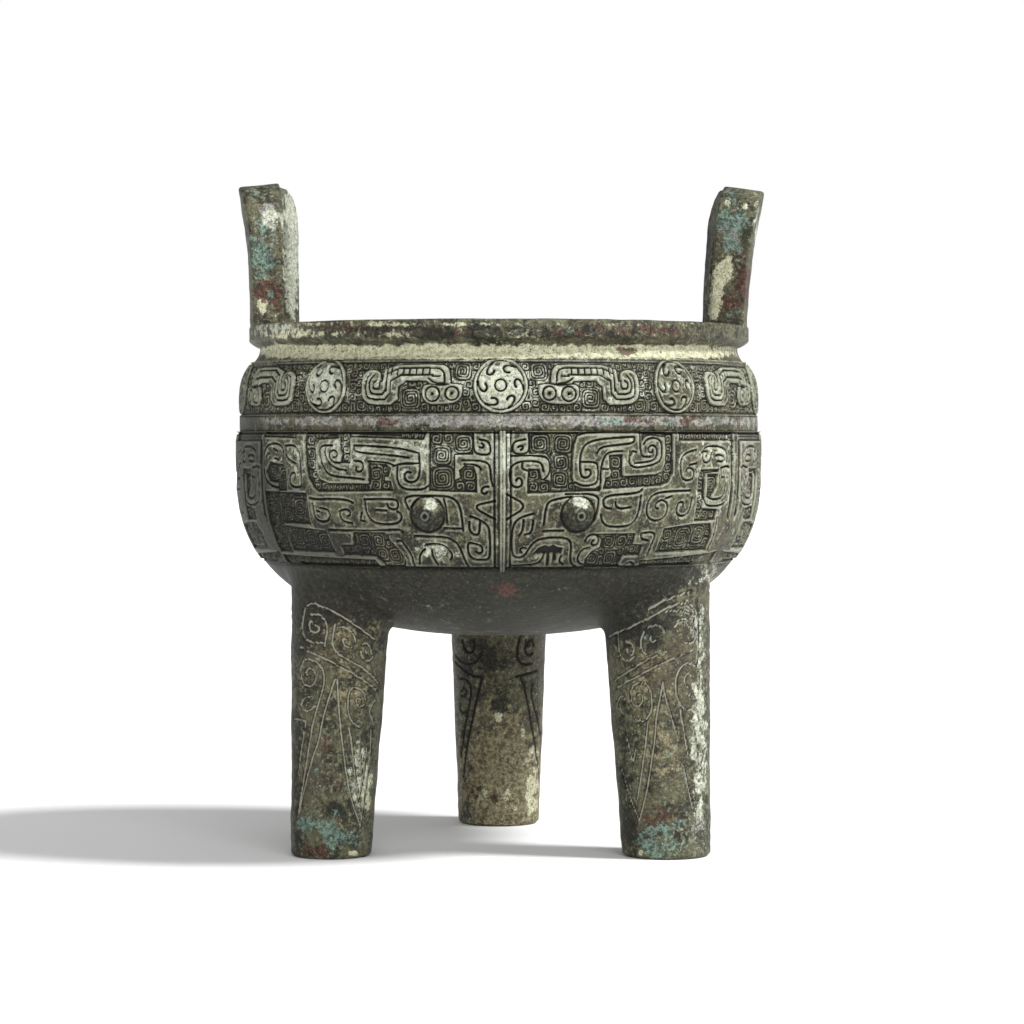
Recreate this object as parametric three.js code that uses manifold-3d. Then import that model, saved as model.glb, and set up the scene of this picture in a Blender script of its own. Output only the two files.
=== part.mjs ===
// Bronze ding: a round bowl on three tapered legs, with two upright loop handles on its rim, cast in one piece.
// Millimetres, +Z up. The origin is on the vessel's axis at the level of its soles, and its front faces -Y.
// Angles round the vessel are in degrees from the front, and grow towards +X.

import * as THREE from 'three';
import { mergeVertices } from 'three/addons/utils/BufferGeometryUtils.js';
import Module from 'manifold-3d';

const wasm = await Module();
wasm.setup();

// Heights of the bowl's zones, stacked from the floor upwards
const legHeight = 81;
const bellyDepth = 65;
const maskRise = 12.7;
const plainBandHeight = 5.8;
const friezeHeight = 20;
const neckHeight = 6;
const rimBevelHeight = 2.5;
const rimFaceHeight = 5.8;
const maskBandHeight = 49.4;

// The bowl's widest radius, at the ground of its relief, and the steps in and out from there up to the mouth
const bellyRadius = 99.9;
const plainBandStep = 0.7;
const friezeStep = 0.5;
const friezeLean = 4.4;
const friezeLeanPower = 3.8;
const neckStep = 7.3;
const rimOverhang = 4.3;
const rimWidth = 12.1;
const rimEdge = 0.8;
const wallThickness = 4.5;
const bellyExponent = 2.5;
const friezeShares = [0, 0.55, 0.8, 1];
const neckHollowStep = 0.8;
const neckHollowShare = 0.4;
const cavityShoulderShare = 0.6;
const mouthLip = 1;

// Legs: how far in from the widest ring their soles' centres stand, how far they lean in, and their thickness
const legInset = 27.4;
const legLean = 3.7;
const legTaper = 3.1;
const legRootShare = 0.6;
const soleEdge = 1.5;
const leftSoleRadius = 15;
const rightSoleRadius = 16.5;
const backSoleRadius = 16.2;
const legs = [
  { angle: -60, soleRadius: leftSoleRadius },
  { angle: 60, soleRadius: rightSoleRadius },
  { angle: 180, soleRadius: backSoleRadius },
];

// Handles: width along the rim, thickness, height over the rim, how far the top leans outwards, and how much
// thicker it is than the foot. The lean grows with the height to the power called bend.
const leftHandleAngle = -93;
const leftHandleWidth = 60;
const leftHandleThickness = 12;
const leftHandleHeight = 53.7;
const leftHandleFlare = 2.3;
const leftHandleBend = 2.4;
const leftHandleThickening = 3.6;
const rightHandleAngle = 90.5;
const rightHandleWidth = 54;
const rightHandleThickness = 12.8;
const rightHandleHeight = 52.3;
const rightHandleFlare = 4.8;
const rightHandleBend = 1.6;
const rightHandleThickening = 2.8;
const handlePostWidth = 11;
const handleBarHeight = 12;
const handleCornerRadius = 15;
const openingCornerRadius = 12;
const handleRoot = 4;
const handles = [
  {
    angle: leftHandleAngle,
    width: leftHandleWidth,
    thickness: leftHandleThickness,
    height: leftHandleHeight,
    flare: leftHandleFlare,
    bend: leftHandleBend,
    thickening: leftHandleThickening,
  },
  {
    angle: rightHandleAngle,
    width: rightHandleWidth,
    thickness: rightHandleThickness,
    height: rightHandleHeight,
    flare: rightHandleFlare,
    bend: rightHandleBend,
    thickening: rightHandleThickening,
  },
];

// Ornament
const maskCount = 3;
const roundelCount = 9;
const maskTurn = 0.8;
const reliefHeight = 0.9;
const reliefRoot = 1.6;
const flangeHeight = 2.6;
const flangeWidth = 2.4;
const flangeEndGap = 0.1;
const eyeRadius = 6;
const eyeHeight = 5;
const eyeTopShare = 0.45;
const roundelRadius = 8.8;
const roundelHubRadius = 2.4;
const roundelHubHeight = 1.8;
const bladeDepth = 0.9;
const bladePitch = 84;
const bladeHalfWidth = 36;
const bladeTip = 0.15;
const bladeShoulder = 0.84;
const bladeInnerShare = 0.82;
const bladeTipGap = 0.11;

// How finely round shapes are divided
const bowlSides = 36;
const bellySteps = 8;
const cavitySteps = 5;
const legSides = 16;
const eyeSides = 8;
const roundelSides = 10;
const hubSides = 6;
const cornerSteps = 3;
const postSteps = 3;
const flangeSteps = 4;
const longestStep = 16;

// Levels and small values that follow from the sizes above
const widestHeight = legHeight + bellyDepth;
const maskTop = widestHeight + maskRise;
const maskBottom = maskTop - maskBandHeight;
const friezeBottom = maskTop + plainBandHeight;
const friezeTop = friezeBottom + friezeHeight;
const rimBottom = friezeTop + neckHeight;
const rimFaceBottom = rimBottom + rimBevelHeight;
const rimTop = rimFaceBottom + rimFaceHeight;
const plainBandRadius = bellyRadius - plainBandStep;
const friezeRadius = plainBandRadius - friezeStep;
const neckRadius = friezeRadius - neckStep;
const rimRadius = neckRadius + rimOverhang;
const mouthRadius = rimRadius - rimWidth;
const legCentreRadius = bellyRadius - legInset;
const sector = 360 / maskCount;
const roundelPitch = 360 / roundelCount;
const degree = Math.PI / 180;

const bronze = new THREE.MeshStandardMaterial({
  color: 0x7f7d63,
  roughness: 0.62,
  metalness: 0.45,
});

// The belly's curve, a superellipse from the underside's middle up to the widest ring
function bellyCurve(radius, depth, steps) {
  const points = [];
  for (let i = 0; i <= steps; i++) {
    const turn = (i / steps) * Math.PI / 2;
    const r = radius * Math.sin(turn) ** (2 / bellyExponent);
    const z = widestHeight - depth * Math.cos(turn) ** (2 / bellyExponent);
    points.push(new THREE.Vector2(r, z));
  }
  points[0].x = 0;
  return points;
}

// The frieze's face leans in more and more towards the neck, with share 0 at its foot and 1 at its top
function friezeFace(share) {
  return friezeRadius - friezeLean * share ** friezeLeanPower;
}

function outerProfile() {
  const points = bellyCurve(bellyRadius, bellyDepth, bellySteps);
  points.push(new THREE.Vector2(bellyRadius, maskTop));
  points.push(new THREE.Vector2(plainBandRadius, maskTop));
  points.push(new THREE.Vector2(plainBandRadius, friezeBottom));
  for (const share of friezeShares) {
    points.push(new THREE.Vector2(friezeFace(share), friezeBottom + share * friezeHeight));
  }
  points.push(new THREE.Vector2(neckRadius + neckHollowStep, friezeTop + neckHeight * neckHollowShare));
  points.push(new THREE.Vector2(neckRadius, rimBottom));
  points.push(new THREE.Vector2(rimRadius, rimFaceBottom));
  points.push(new THREE.Vector2(rimRadius, rimTop - rimEdge));
  points.push(new THREE.Vector2(rimRadius - rimEdge, rimTop));
  return points;
}

function innerProfile() {
  const points = bellyCurve(bellyRadius - wallThickness, bellyDepth - wallThickness, cavitySteps);
  points.push(new THREE.Vector2(plainBandRadius - wallThickness, friezeBottom));
  const shoulder = friezeBottom + cavityShoulderShare * friezeHeight;
  points.push(new THREE.Vector2(friezeFace(cavityShoulderShare) - wallThickness, shoulder));
  points.push(new THREE.Vector2(mouthRadius, rimBottom - mouthLip));
  points.push(new THREE.Vector2(mouthRadius, rimTop));
  return points;
}

// A closed geometry becomes a solid once its shared points are merged and its faces point outwards
function solidFrom(geometry) {
  const bare = geometry.clone();
  bare.deleteAttribute('normal');
  bare.deleteAttribute('uv');
  const merged = mergeVertices(bare, 1e-4);
  const place = merged.attributes.position;
  const corners = [];
  let volume = 0;
  const a = new THREE.Vector3();
  const b = new THREE.Vector3();
  const c = new THREE.Vector3();
  for (let i = 0; i < merged.index.count; i += 3) {
    const [p, q, r] = [merged.index.getX(i), merged.index.getX(i + 1), merged.index.getX(i + 2)];
    if (p === q || q === r || r === p) continue;
    a.fromBufferAttribute(place, p);
    b.fromBufferAttribute(place, q);
    c.fromBufferAttribute(place, r);
    volume += a.dot(b.cross(c));
    corners.push(p, q, r);
  }
  if (volume < 0) corners.reverse();
  const mesh = new wasm.Mesh({
    numProp: 3,
    vertProperties: new Float32Array(place.array),
    triVerts: new Uint32Array(corners),
  });
  return new wasm.Manifold(mesh);
}

function geometryFrom(solid) {
  const mesh = solid.getMesh();
  const geometry = new THREE.BufferGeometry();
  geometry.setAttribute('position', new THREE.BufferAttribute(mesh.vertProperties, 3));
  geometry.setIndex(new THREE.BufferAttribute(mesh.triVerts, 1));
  geometry.computeVertexNormals();
  return geometry;
}

// A profile of radius and height, closed to the axis at both ends, turned round +Z
function turned(profile, sides) {
  const closed = [new THREE.Vector2(0, profile[0].y), ...profile];
  closed.push(new THREE.Vector2(0, profile[profile.length - 1].y));
  return new THREE.LatheGeometry(closed, sides).rotateX(Math.PI / 2);
}

// Radius of the bowl's outside at a height, and the slope of its face there
const bowlProfile = outerProfile();
function bowlFace(z) {
  let i = 0;
  while (i < bowlProfile.length - 2 && bowlProfile[i + 1].y <= z) i++;
  const low = bowlProfile[i];
  const high = bowlProfile[i + 1];
  const rise = Math.max(high.y - low.y, 1e-6);
  const share = THREE.MathUtils.clamp((z - low.y) / rise, 0, 1);
  const run = high.x - low.x;
  const length = Math.hypot(run, rise);
  return { radius: low.x + share * run, out: rise / length, down: run / length };
}

// A point on the bowl at an angle and a height, lifted off its face
function onBowl(angle, z, lift) {
  const face = bowlFace(z);
  const r = face.radius + lift * face.out;
  const turn = angle * degree;
  return new THREE.Vector3(r * Math.sin(turn), -r * Math.cos(turn), z - lift * face.down);
}

// A flat outline laid on a curved face by place(x, y, lift), as a closed slab from the root up to the height
function raised(outline, height, root, place) {
  const flat = outline.map(([x, y]) => new THREE.Vector2(x, y));
  if (THREE.ShapeUtils.isClockWise(flat)) flat.reverse();
  const count = flat.length;
  const positions = [];
  for (const lift of [-root, height]) {
    for (const point of flat) positions.push(...place(point.x, point.y, lift).toArray());
  }
  const corners = [];
  for (const [a, b, c] of THREE.ShapeUtils.triangulateShape(flat, [])) {
    corners.push(c, b, a, a + count, b + count, c + count);
  }
  for (let i = 0; i < count; i++) {
    const j = (i + 1) % count;
    corners.push(i, j, j + count, i, j + count, i + count);
  }
  const geometry = new THREE.BufferGeometry();
  geometry.setAttribute('position', new THREE.Float32BufferAttribute(positions, 3));
  geometry.setIndex(corners);
  return solidFrom(geometry);
}

// The outline of a band along a route, whose points are [x, y, width of the band there]
function bandOutline(route) {
  const left = [];
  const right = [];
  route.forEach(([x, y, width], i) => {
    const [beforeX, beforeY] = route[Math.max(i - 1, 0)];
    const [afterX, afterY] = route[Math.min(i + 1, route.length - 1)];
    const length = Math.hypot(afterX - beforeX, afterY - beforeY);
    const sideX = -(afterY - beforeY) / length * width / 2;
    const sideY = (afterX - beforeX) / length * width / 2;
    left.push([x + sideX, y + sideY]);
    right.unshift([x - sideX, y - sideY]);
  });
  return [...left, ...right];
}

function roundOutline(x, y, radius, sides) {
  const outline = [];
  for (let i = 0; i < sides; i++) {
    const turn = (i / sides) * 2 * Math.PI;
    outline.push([x + radius * Math.cos(turn), y + radius * Math.sin(turn)]);
  }
  return outline;
}

// The mask is drawn on a sheet for its right half: x from the nose to the seam, y up from the band's foot.
// Each route point is x, y and the band's width there.
const sheetWidth = 105;
const sheetHeight = 49.4;
const maskRoutes = {
  horn: [[31, 30, 8.6], [31, 41, 8.2], [36, 45.2, 7], [47, 44.6, 6.6], [47.6, 35.4, 5], [59.6, 35.6, 2.8],
    [60, 43, 2.8]],
  brow: [[3.4, 39.6, 2.4], [15.6, 39.4, 2.8], [15.4, 32, 2.6], [5, 31.4, 2.6]],
  jaw: [[11, 19.8, 2], [4.4, 16, 2.6], [4.6, 5.6, 2.6], [13.4, 10.6, 2.8], [24.6, 10.4, 2.8], [28.6, 1.6, 2.4]],
  body: [[76, 26.8, 2.8], [57.6, 26.2, 2.8], [57, 19, 2.6], [64.2, 19.4, 2.4]],
  tail: [[84.4, 32, 2.8], [85.4, 22.4, 2.8], [97, 22.8, 2.8], [98.8, 34, 2.8]],
  hindCurl: [[77, 41, 2.8], [70.6, 39.4, 2.8], [77.4, 31.4, 2.6]],
  claw: [[58, 13.4, 8.4], [58, 3.6, 5], [52.6, 1.8, 2.8]],
  foreleg: [[62.4, 4.6, 2.6], [93.6, 5, 2.8], [94.6, 17, 2.6]],
};
const earOutline = [[38, 26.4], [52.2, 27], [49.4, 15], [39.4, 15], [36.2, 19]];
const noseOutline = [[1, 27.2], [9.2, 22.8], [1, 18]];
const eyeCentre = [26.2, 19.8];

// The dragon is drawn on a sheet for one space between two roundels, with its head at the left
const dragonSheetWidth = 70;
const dragonSheetHeight = 20;
const dragonRoute = [[19.5, 14.6, 5.4], [39.6, 16, 3.6], [42.4, 5.6, 3.2], [53, 6.4, 3], [52, 15, 2.8]];
const dragonEye = [21.6, 7.6, 3.4];

// Which way each dragon round the bowl faces, from the front towards +X
const headsFirst = [true, false, true, false, true, true, false, true, false];

// Long steps of a route are divided, so that its band follows the bowl's curve
function divided(route) {
  const points = [route[0]];
  for (let i = 1; i < route.length; i++) {
    const from = route[i - 1];
    const to = route[i];
    const pieces = Math.ceil(Math.hypot(to[0] - from[0], to[1] - from[1]) / longestStep);
    for (let k = 1; k <= pieces; k++) {
      points.push(from.map((value, n) => THREE.MathUtils.lerp(value, to[n], k / pieces)));
    }
  }
  return points;
}

// Places a mask's sheet on the bowl, with side 1 for its right half and -1 for its left
function maskPlace(centre, side) {
  return (x, y, lift) => {
    const angle = centre + side * x / sheetWidth * sector / 2;
    return onBowl(angle, maskBottom + y / sheetHeight * maskBandHeight, lift);
  };
}

// An eye is a blunt cone that stands out of the band
function eyeBoss(angle, z) {
  const profile = [
    new THREE.Vector2(eyeRadius, 0),
    new THREE.Vector2(eyeRadius * eyeTopShare, reliefRoot + eyeHeight),
  ];
  const boss = turned(profile, eyeSides);
  const foot = onBowl(angle, z, -reliefRoot);
  const out = onBowl(angle, z, 0).sub(foot).normalize();
  boss.applyQuaternion(new THREE.Quaternion().setFromUnitVectors(new THREE.Vector3(0, 0, 1), out));
  boss.translate(foot.x, foot.y, foot.z);
  return solidFrom(boss);
}

function mask(centre) {
  const pieces = [];
  for (const side of [-1, 1]) {
    const place = maskPlace(centre, side);
    for (const route of Object.values(maskRoutes)) {
      pieces.push(raised(bandOutline(divided(route)), reliefHeight, reliefRoot, place));
    }
    pieces.push(raised(earOutline, reliefHeight, reliefRoot, place));
    pieces.push(raised(noseOutline, reliefHeight, reliefRoot, place));
    const eyeAngle = centre + side * eyeCentre[0] / sheetWidth * sector / 2;
    pieces.push(eyeBoss(eyeAngle, maskBottom + eyeCentre[1] / sheetHeight * maskBandHeight));
  }
  return pieces;
}

// The thin ridge down the middle of a mask
function flange(centre) {
  const halfAngle = flangeWidth / 2 / bellyRadius / degree;
  const left = [];
  const right = [];
  for (let i = 0; i <= flangeSteps; i++) {
    const z = maskBottom + (i / flangeSteps) * (maskBandHeight - flangeEndGap);
    left.unshift([centre - halfAngle, z]);
    right.push([centre + halfAngle, z]);
  }
  return raised([...right, ...left], flangeHeight, reliefRoot, onBowl);
}

// A roundel lies in the middle of the frieze, with six hooks that whirl round its hub
function roundel(centre) {
  const middle = friezeBottom + friezeHeight / 2;
  const arc = 1 / plainBandRadius / degree;
  const place = (x, y, lift) => onBowl(centre + x * arc, middle + y, lift);
  return [
    raised(roundOutline(0, 0, roundelRadius, roundelSides), reliefHeight, reliefRoot, place),
    raised(roundOutline(0, 0, roundelHubRadius, hubSides), roundelHubHeight, 0, place),
  ];
}

function dragon(start, headFirst) {
  const place = (x, y, lift) => {
    const along = headFirst ? x : dragonSheetWidth - x;
    const angle = start + along / dragonSheetWidth * roundelPitch;
    return onBowl(angle, friezeBottom + y / dragonSheetHeight * friezeHeight, lift);
  };
  return [
    raised(bandOutline(divided(dragonRoute)), reliefHeight, reliefRoot, place),
    raised(roundOutline(...dragonEye, hubSides), reliefHeight, reliefRoot, place),
  ];
}

// A tapered leg whose outer side is upright, while its centre line leans in towards the bowl
function leg({ angle, soleRadius }) {
  const rootHeight = legHeight + bellyDepth * legRootShare;
  const profile = [
    new THREE.Vector2(soleRadius - soleEdge, 0),
    new THREE.Vector2(soleRadius, soleEdge),
    new THREE.Vector2(soleRadius + legTaper * rootHeight / legHeight, rootHeight),
  ];
  const geometry = turned(profile, legSides);
  const place = geometry.attributes.position;
  for (let i = 0; i < place.count; i++) {
    const z = place.getZ(i);
    place.setY(i, place.getY(i) - legCentreRadius + legLean * z / legHeight);
  }
  geometry.rotateZ(angle * degree);
  return solidFrom(geometry);
}

// A point on a leg's face, at an angle round the leg from its outermost line, lifted off the face
function legPlace({ angle, soleRadius }) {
  return (turn, z, lift) => {
    const radius = soleRadius + legTaper * z / legHeight + lift;
    const point = new THREE.Vector3(radius * Math.sin(turn * degree), -radius * Math.cos(turn * degree), z);
    point.y += legLean * z / legHeight - legCentreRadius;
    return point.applyAxisAngle(new THREE.Vector3(0, 0, 1), angle * degree);
  };
}

// Hanging blades are cut round the outer side of a leg: each is a V of two grooves that meet at its tip
function legBlades(shape) {
  const place = legPlace(shape);
  const tip = legHeight * bladeTip;
  const shoulder = legHeight * bladeShoulder;
  return [-bladePitch, 0, bladePitch].map((middle) => {
    const outline = [
      [middle - bladeHalfWidth, shoulder],
      [middle, tip],
      [middle + bladeHalfWidth, shoulder],
      [middle + bladeHalfWidth * bladeInnerShare, shoulder],
      [middle, tip + legHeight * bladeTipGap],
      [middle - bladeHalfWidth * bladeInnerShare, shoulder],
    ];
    return raised(outline, reliefRoot, bladeDepth, place);
  });
}

// One half of a handle's outline, or of its opening: up from the root and round the corner to the middle line
function archPath(halfWidth, top, cornerRadius) {
  const points = [];
  const spring = top - cornerRadius;
  for (let i = 0; i < postSteps; i++) points.push([halfWidth, spring * i / postSteps]);
  for (let i = 0; i <= cornerSteps; i++) {
    const turn = (i / cornerSteps) * Math.PI / 2;
    points.push([
      halfWidth - cornerRadius * (1 - Math.cos(turn)),
      spring + cornerRadius * Math.sin(turn),
    ]);
  }
  return points;
}

function mirrored(points) {
  return points.map(([x, y]) => [-x, y]).reverse();
}

// The outline of a handle seen from outside: two posts joined by a bar, x along the rim, y up from its root
function handleShape(width, height) {
  const outside = archPath(width / 2, height + handleRoot, handleCornerRadius);
  const openingTop = height + handleRoot - handleBarHeight;
  const inside = archPath(width / 2 - handlePostWidth, openingTop, openingCornerRadius);
  const opening = [...inside, ...mirrored(inside)].reverse();
  const outline = [...outside, ...mirrored(outside), ...opening];
  return new THREE.Shape(outline.map(([x, y]) => new THREE.Vector2(x, y)));
}

// A handle stands on the rim along its curve, and bends outwards more and more towards its top
function handle({ angle, width, thickness, height, flare, bend, thickening }) {
  const settings = { depth: thickness, bevelEnabled: false };
  const geometry = new THREE.ExtrudeGeometry(handleShape(width, height), settings);
  const place = geometry.attributes.position;
  const middle = rimRadius - thickness / 2;
  for (let i = 0; i < place.count; i++) {
    const up = place.getY(i) - handleRoot;
    const share = Math.max(up / height, 0);
    const tilt = Math.atan(bend * flare * share ** (bend - 1) / height);
    const depth = (place.getZ(i) - thickness / 2) * (1 + thickening / thickness * share ** bend);
    const radius = middle + flare * share ** bend + depth * Math.cos(tilt);
    const turn = place.getX(i) / rimRadius;
    place.setXYZ(i, radius * Math.sin(turn), -radius * Math.cos(turn), rimTop + up - depth * Math.sin(tilt));
  }
  geometry.rotateZ(angle * degree);
  return solidFrom(geometry);
}

function ornament() {
  const pieces = [];
  for (let i = 0; i < maskCount; i++) {
    const centre = maskTurn + i * sector;
    pieces.push(...mask(centre), flange(centre));
  }
  for (let i = 0; i < roundelCount; i++) {
    pieces.push(...roundel(i * roundelPitch));
    pieces.push(...dragon(i * roundelPitch, headsFirst[i % headsFirst.length]));
  }
  return pieces;
}

function vessel() {
  let solid = solidFrom(turned(bowlProfile, bowlSides));
  for (const shape of legs) {
    solid = solid.add(leg(shape));
    for (const blade of legBlades(shape)) solid = solid.subtract(blade);
  }
  for (const shape of handles) solid = solid.add(handle(shape));
  for (const piece of ornament()) solid = solid.add(piece);
  const cavity = innerProfile();
  cavity.push(new THREE.Vector2(mouthRadius, rimTop + handleRoot));
  return solid.subtract(solidFrom(turned(cavity, bowlSides)));
}

const ding = new THREE.Group();
const casting = new THREE.Mesh(geometryFrom(vessel()), bronze);
casting.name = 'ding_vessel';
ding.add(casting);

export default ding;
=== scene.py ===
import math

import bpy
import numpy as np
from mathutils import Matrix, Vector


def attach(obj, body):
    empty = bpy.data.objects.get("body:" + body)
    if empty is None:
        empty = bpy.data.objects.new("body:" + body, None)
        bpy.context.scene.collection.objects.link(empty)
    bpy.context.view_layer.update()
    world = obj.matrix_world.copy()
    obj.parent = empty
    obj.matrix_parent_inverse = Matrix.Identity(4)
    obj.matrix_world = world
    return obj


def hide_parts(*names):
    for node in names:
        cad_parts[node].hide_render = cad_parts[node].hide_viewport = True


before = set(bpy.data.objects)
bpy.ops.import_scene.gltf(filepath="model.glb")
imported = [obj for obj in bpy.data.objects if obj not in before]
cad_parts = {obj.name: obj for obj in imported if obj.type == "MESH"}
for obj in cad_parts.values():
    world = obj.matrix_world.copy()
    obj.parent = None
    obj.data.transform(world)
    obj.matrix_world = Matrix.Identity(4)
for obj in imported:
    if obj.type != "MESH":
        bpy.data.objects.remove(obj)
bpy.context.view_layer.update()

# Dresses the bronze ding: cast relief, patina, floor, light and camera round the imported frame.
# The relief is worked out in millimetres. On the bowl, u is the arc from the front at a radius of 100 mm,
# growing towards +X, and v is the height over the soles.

MM = 0.001

# Camera, in millimetres and in pixels of the 1024 pixel photograph
CAMERA_DISTANCE = 1300.0
CAMERA_HEIGHT = 155.5
FOCAL_PIXELS = 3380.0
PHOTO_SIDE = 1024
AXIS_COLUMN = 498.7
HORIZON_ROW = 440.0
SENSOR_WIDTH = 36.0
AMBIENT = 0.45

# The bowl's zones and radii, as in the CAD
LEG_HEIGHT = 81.0
BELLY_DEPTH = 65.0
MASK_RISE = 12.7
PLAIN_BAND = 5.8
FRIEZE = 20.0
NECK = 6.0
RIM_BEVEL = 2.5
RIM_FACE = 5.8
MASK_BAND = 49.4
BELLY_RADIUS = 99.9
PLAIN_RADIUS = BELLY_RADIUS - 0.7
FRIEZE_RADIUS = PLAIN_RADIUS - 0.5
FRIEZE_LEAN = 4.4
FRIEZE_LEAN_POWER = 3.8
NECK_RADIUS = FRIEZE_RADIUS - 7.3
RIM_OVERHANG = 4.3
RIM_RADIUS = NECK_RADIUS + RIM_OVERHANG
MOUTH_RADIUS = RIM_RADIUS - 12.1
WALL = 4.5
BELLY_POWER = 2.5
WIDEST = LEG_HEIGHT + BELLY_DEPTH
MASK_TOP = WIDEST + MASK_RISE
MASK_FOOT = MASK_TOP - MASK_BAND
FRIEZE_FOOT = MASK_TOP + PLAIN_BAND
FRIEZE_TOP = FRIEZE_FOOT + FRIEZE
RIM_FOOT = FRIEZE_TOP + NECK
RIM_FACE_FOOT = RIM_FOOT + RIM_BEVEL
RIM_TOP = RIM_FACE_FOOT + RIM_FACE

# Ornament
U_PER_TURN = 200 * math.pi
MASK_HALF = U_PER_TURN / 6
NOSE_U = 1.4
ROUNDEL_U = 0.7
CELL = U_PER_TURN / 9
PLATE_LEVEL = 0.75
GROUND_LEVEL = -0.62
LEIWEN_LEVEL = 0.0
PLATE_SWELL = 0.12
CUT_SHARE = 0.86
CUT_REACH = 1.2
HOLLOW_DEPTH = 1.5
MASK_LINE = 0.36
FRIEZE_LINE = 0.32
OUTLINE_REACH = 12.0
SHELL_DEPTH = 2.2
UNDER_SHELL = 1.4
MOST_SPIRALS = 90
BIGGEST_SPIRAL = 3.4
SPIRAL_STRETCH = 1.06
# Pitch of the mesh, period of the fine spirals and radius of the smallest, in front and elsewhere
FRONT_FINENESS = (0.27, 0.98, 1.1)
OTHER_FINENESS = (0.48, 1.45, 1.4)

# The front mask, right half: grounds of fine spirals, in u and v
RIGHT_GROUNDS = [
    [(10.8, 158), (28.7, 158), (27, 154), (26.3, 148), (26.3, 142), (27.5, 139.3), (30, 138.3), (35, 138.1),
     (36.6, 139), (36.6, 137.4), (18.6, 137), (18.6, 148.6), (16.8, 150.7), (10.8, 150.7)],
    [(10.3, 136.6), (18.4, 136.9), (18.3, 141), (15.2, 141.6), (14.5, 145), (10.6, 145.2), (10.3, 141)],
    [(38.2, 138.1), (62, 139.2), (65.5, 140.4), (67.6, 143.5), (67.8, 157.9), (64, 157.9), (64.4, 152),
     (64.2, 147), (62.4, 143.9), (60, 143), (46.5, 142.4), (45.7, 143), (45.6, 150.3), (40.5, 150),
     (40.7, 145.6), (41.5, 144.2), (41, 142.5), (39.2, 141.8)],
    [(53.8, 158.3), (64, 158.3), (63.6, 156.6), (58, 157.2), (55.6, 156.9), (53.8, 155)],
    [(71, 158.3), (103.6, 158.3), (103.6, 155.4), (71, 155.4)],
    [(101.6, 155.4), (104, 155.4), (104, 126), (101.8, 128), (102.3, 140)],
    [(81, 125.8), (93.5, 126.4), (94, 130), (84.5, 130.6), (84.2, 141), (85.5, 143.4), (93, 143.9),
     (93, 144.7), (82.5, 144.6), (81, 142)],
    [(86.2, 135), (88.5, 134.2), (92.6, 139), (92.4, 143), (86.4, 143)],
    [(65, 114.9), (94.6, 115.4), (94.4, 121), (91.5, 124.9), (80, 124.8), (66, 123.4)],
    [(36.8, 121.9), (53.2, 121.9), (53.2, 118), (57.5, 117.7), (57.5, 114.4), (50, 114.3), (49, 111),
     (50.5, 109.4), (34.5, 110.2), (34.2, 113), (36, 115.6), (39.3, 117.3), (39.4, 120)],
    [(59, 112), (100, 113.9), (104, 114.5), (104, 110), (60, 109.3)],
]
RIGHT_SPIRALS = [
    (14.7, 154.2, 3.5), (23.1, 154.1, 3.4), (22.3, 147.5, 2.9), (22, 141.5, 3), (12.4, 143.3, 1.9),
    (12.3, 138.7, 1.8), (16.2, 138.7, 1.7), (43.1, 147.5, 2.2), (43.1, 143.2, 2), (42.9, 118.9, 2.6),
    (48.2, 119.1, 2.3), (37.2, 112.9, 2.4), (44.6, 112.9, 2.9), (54, 115.9, 1.6), (69, 121, 2.3),
    (69, 117, 2), (77.2, 119.8, 4.2), (86.5, 121, 3.8), (89.2, 139, 3.4), (83, 128, 1.8), (87.5, 128.2, 1.9),
    (91.6, 128.2, 1.6), (65.9, 156, 1.7), (65.9, 149, 1.5), (65.2, 142.2, 1.9), (61.3, 141, 1.5),
]
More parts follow.
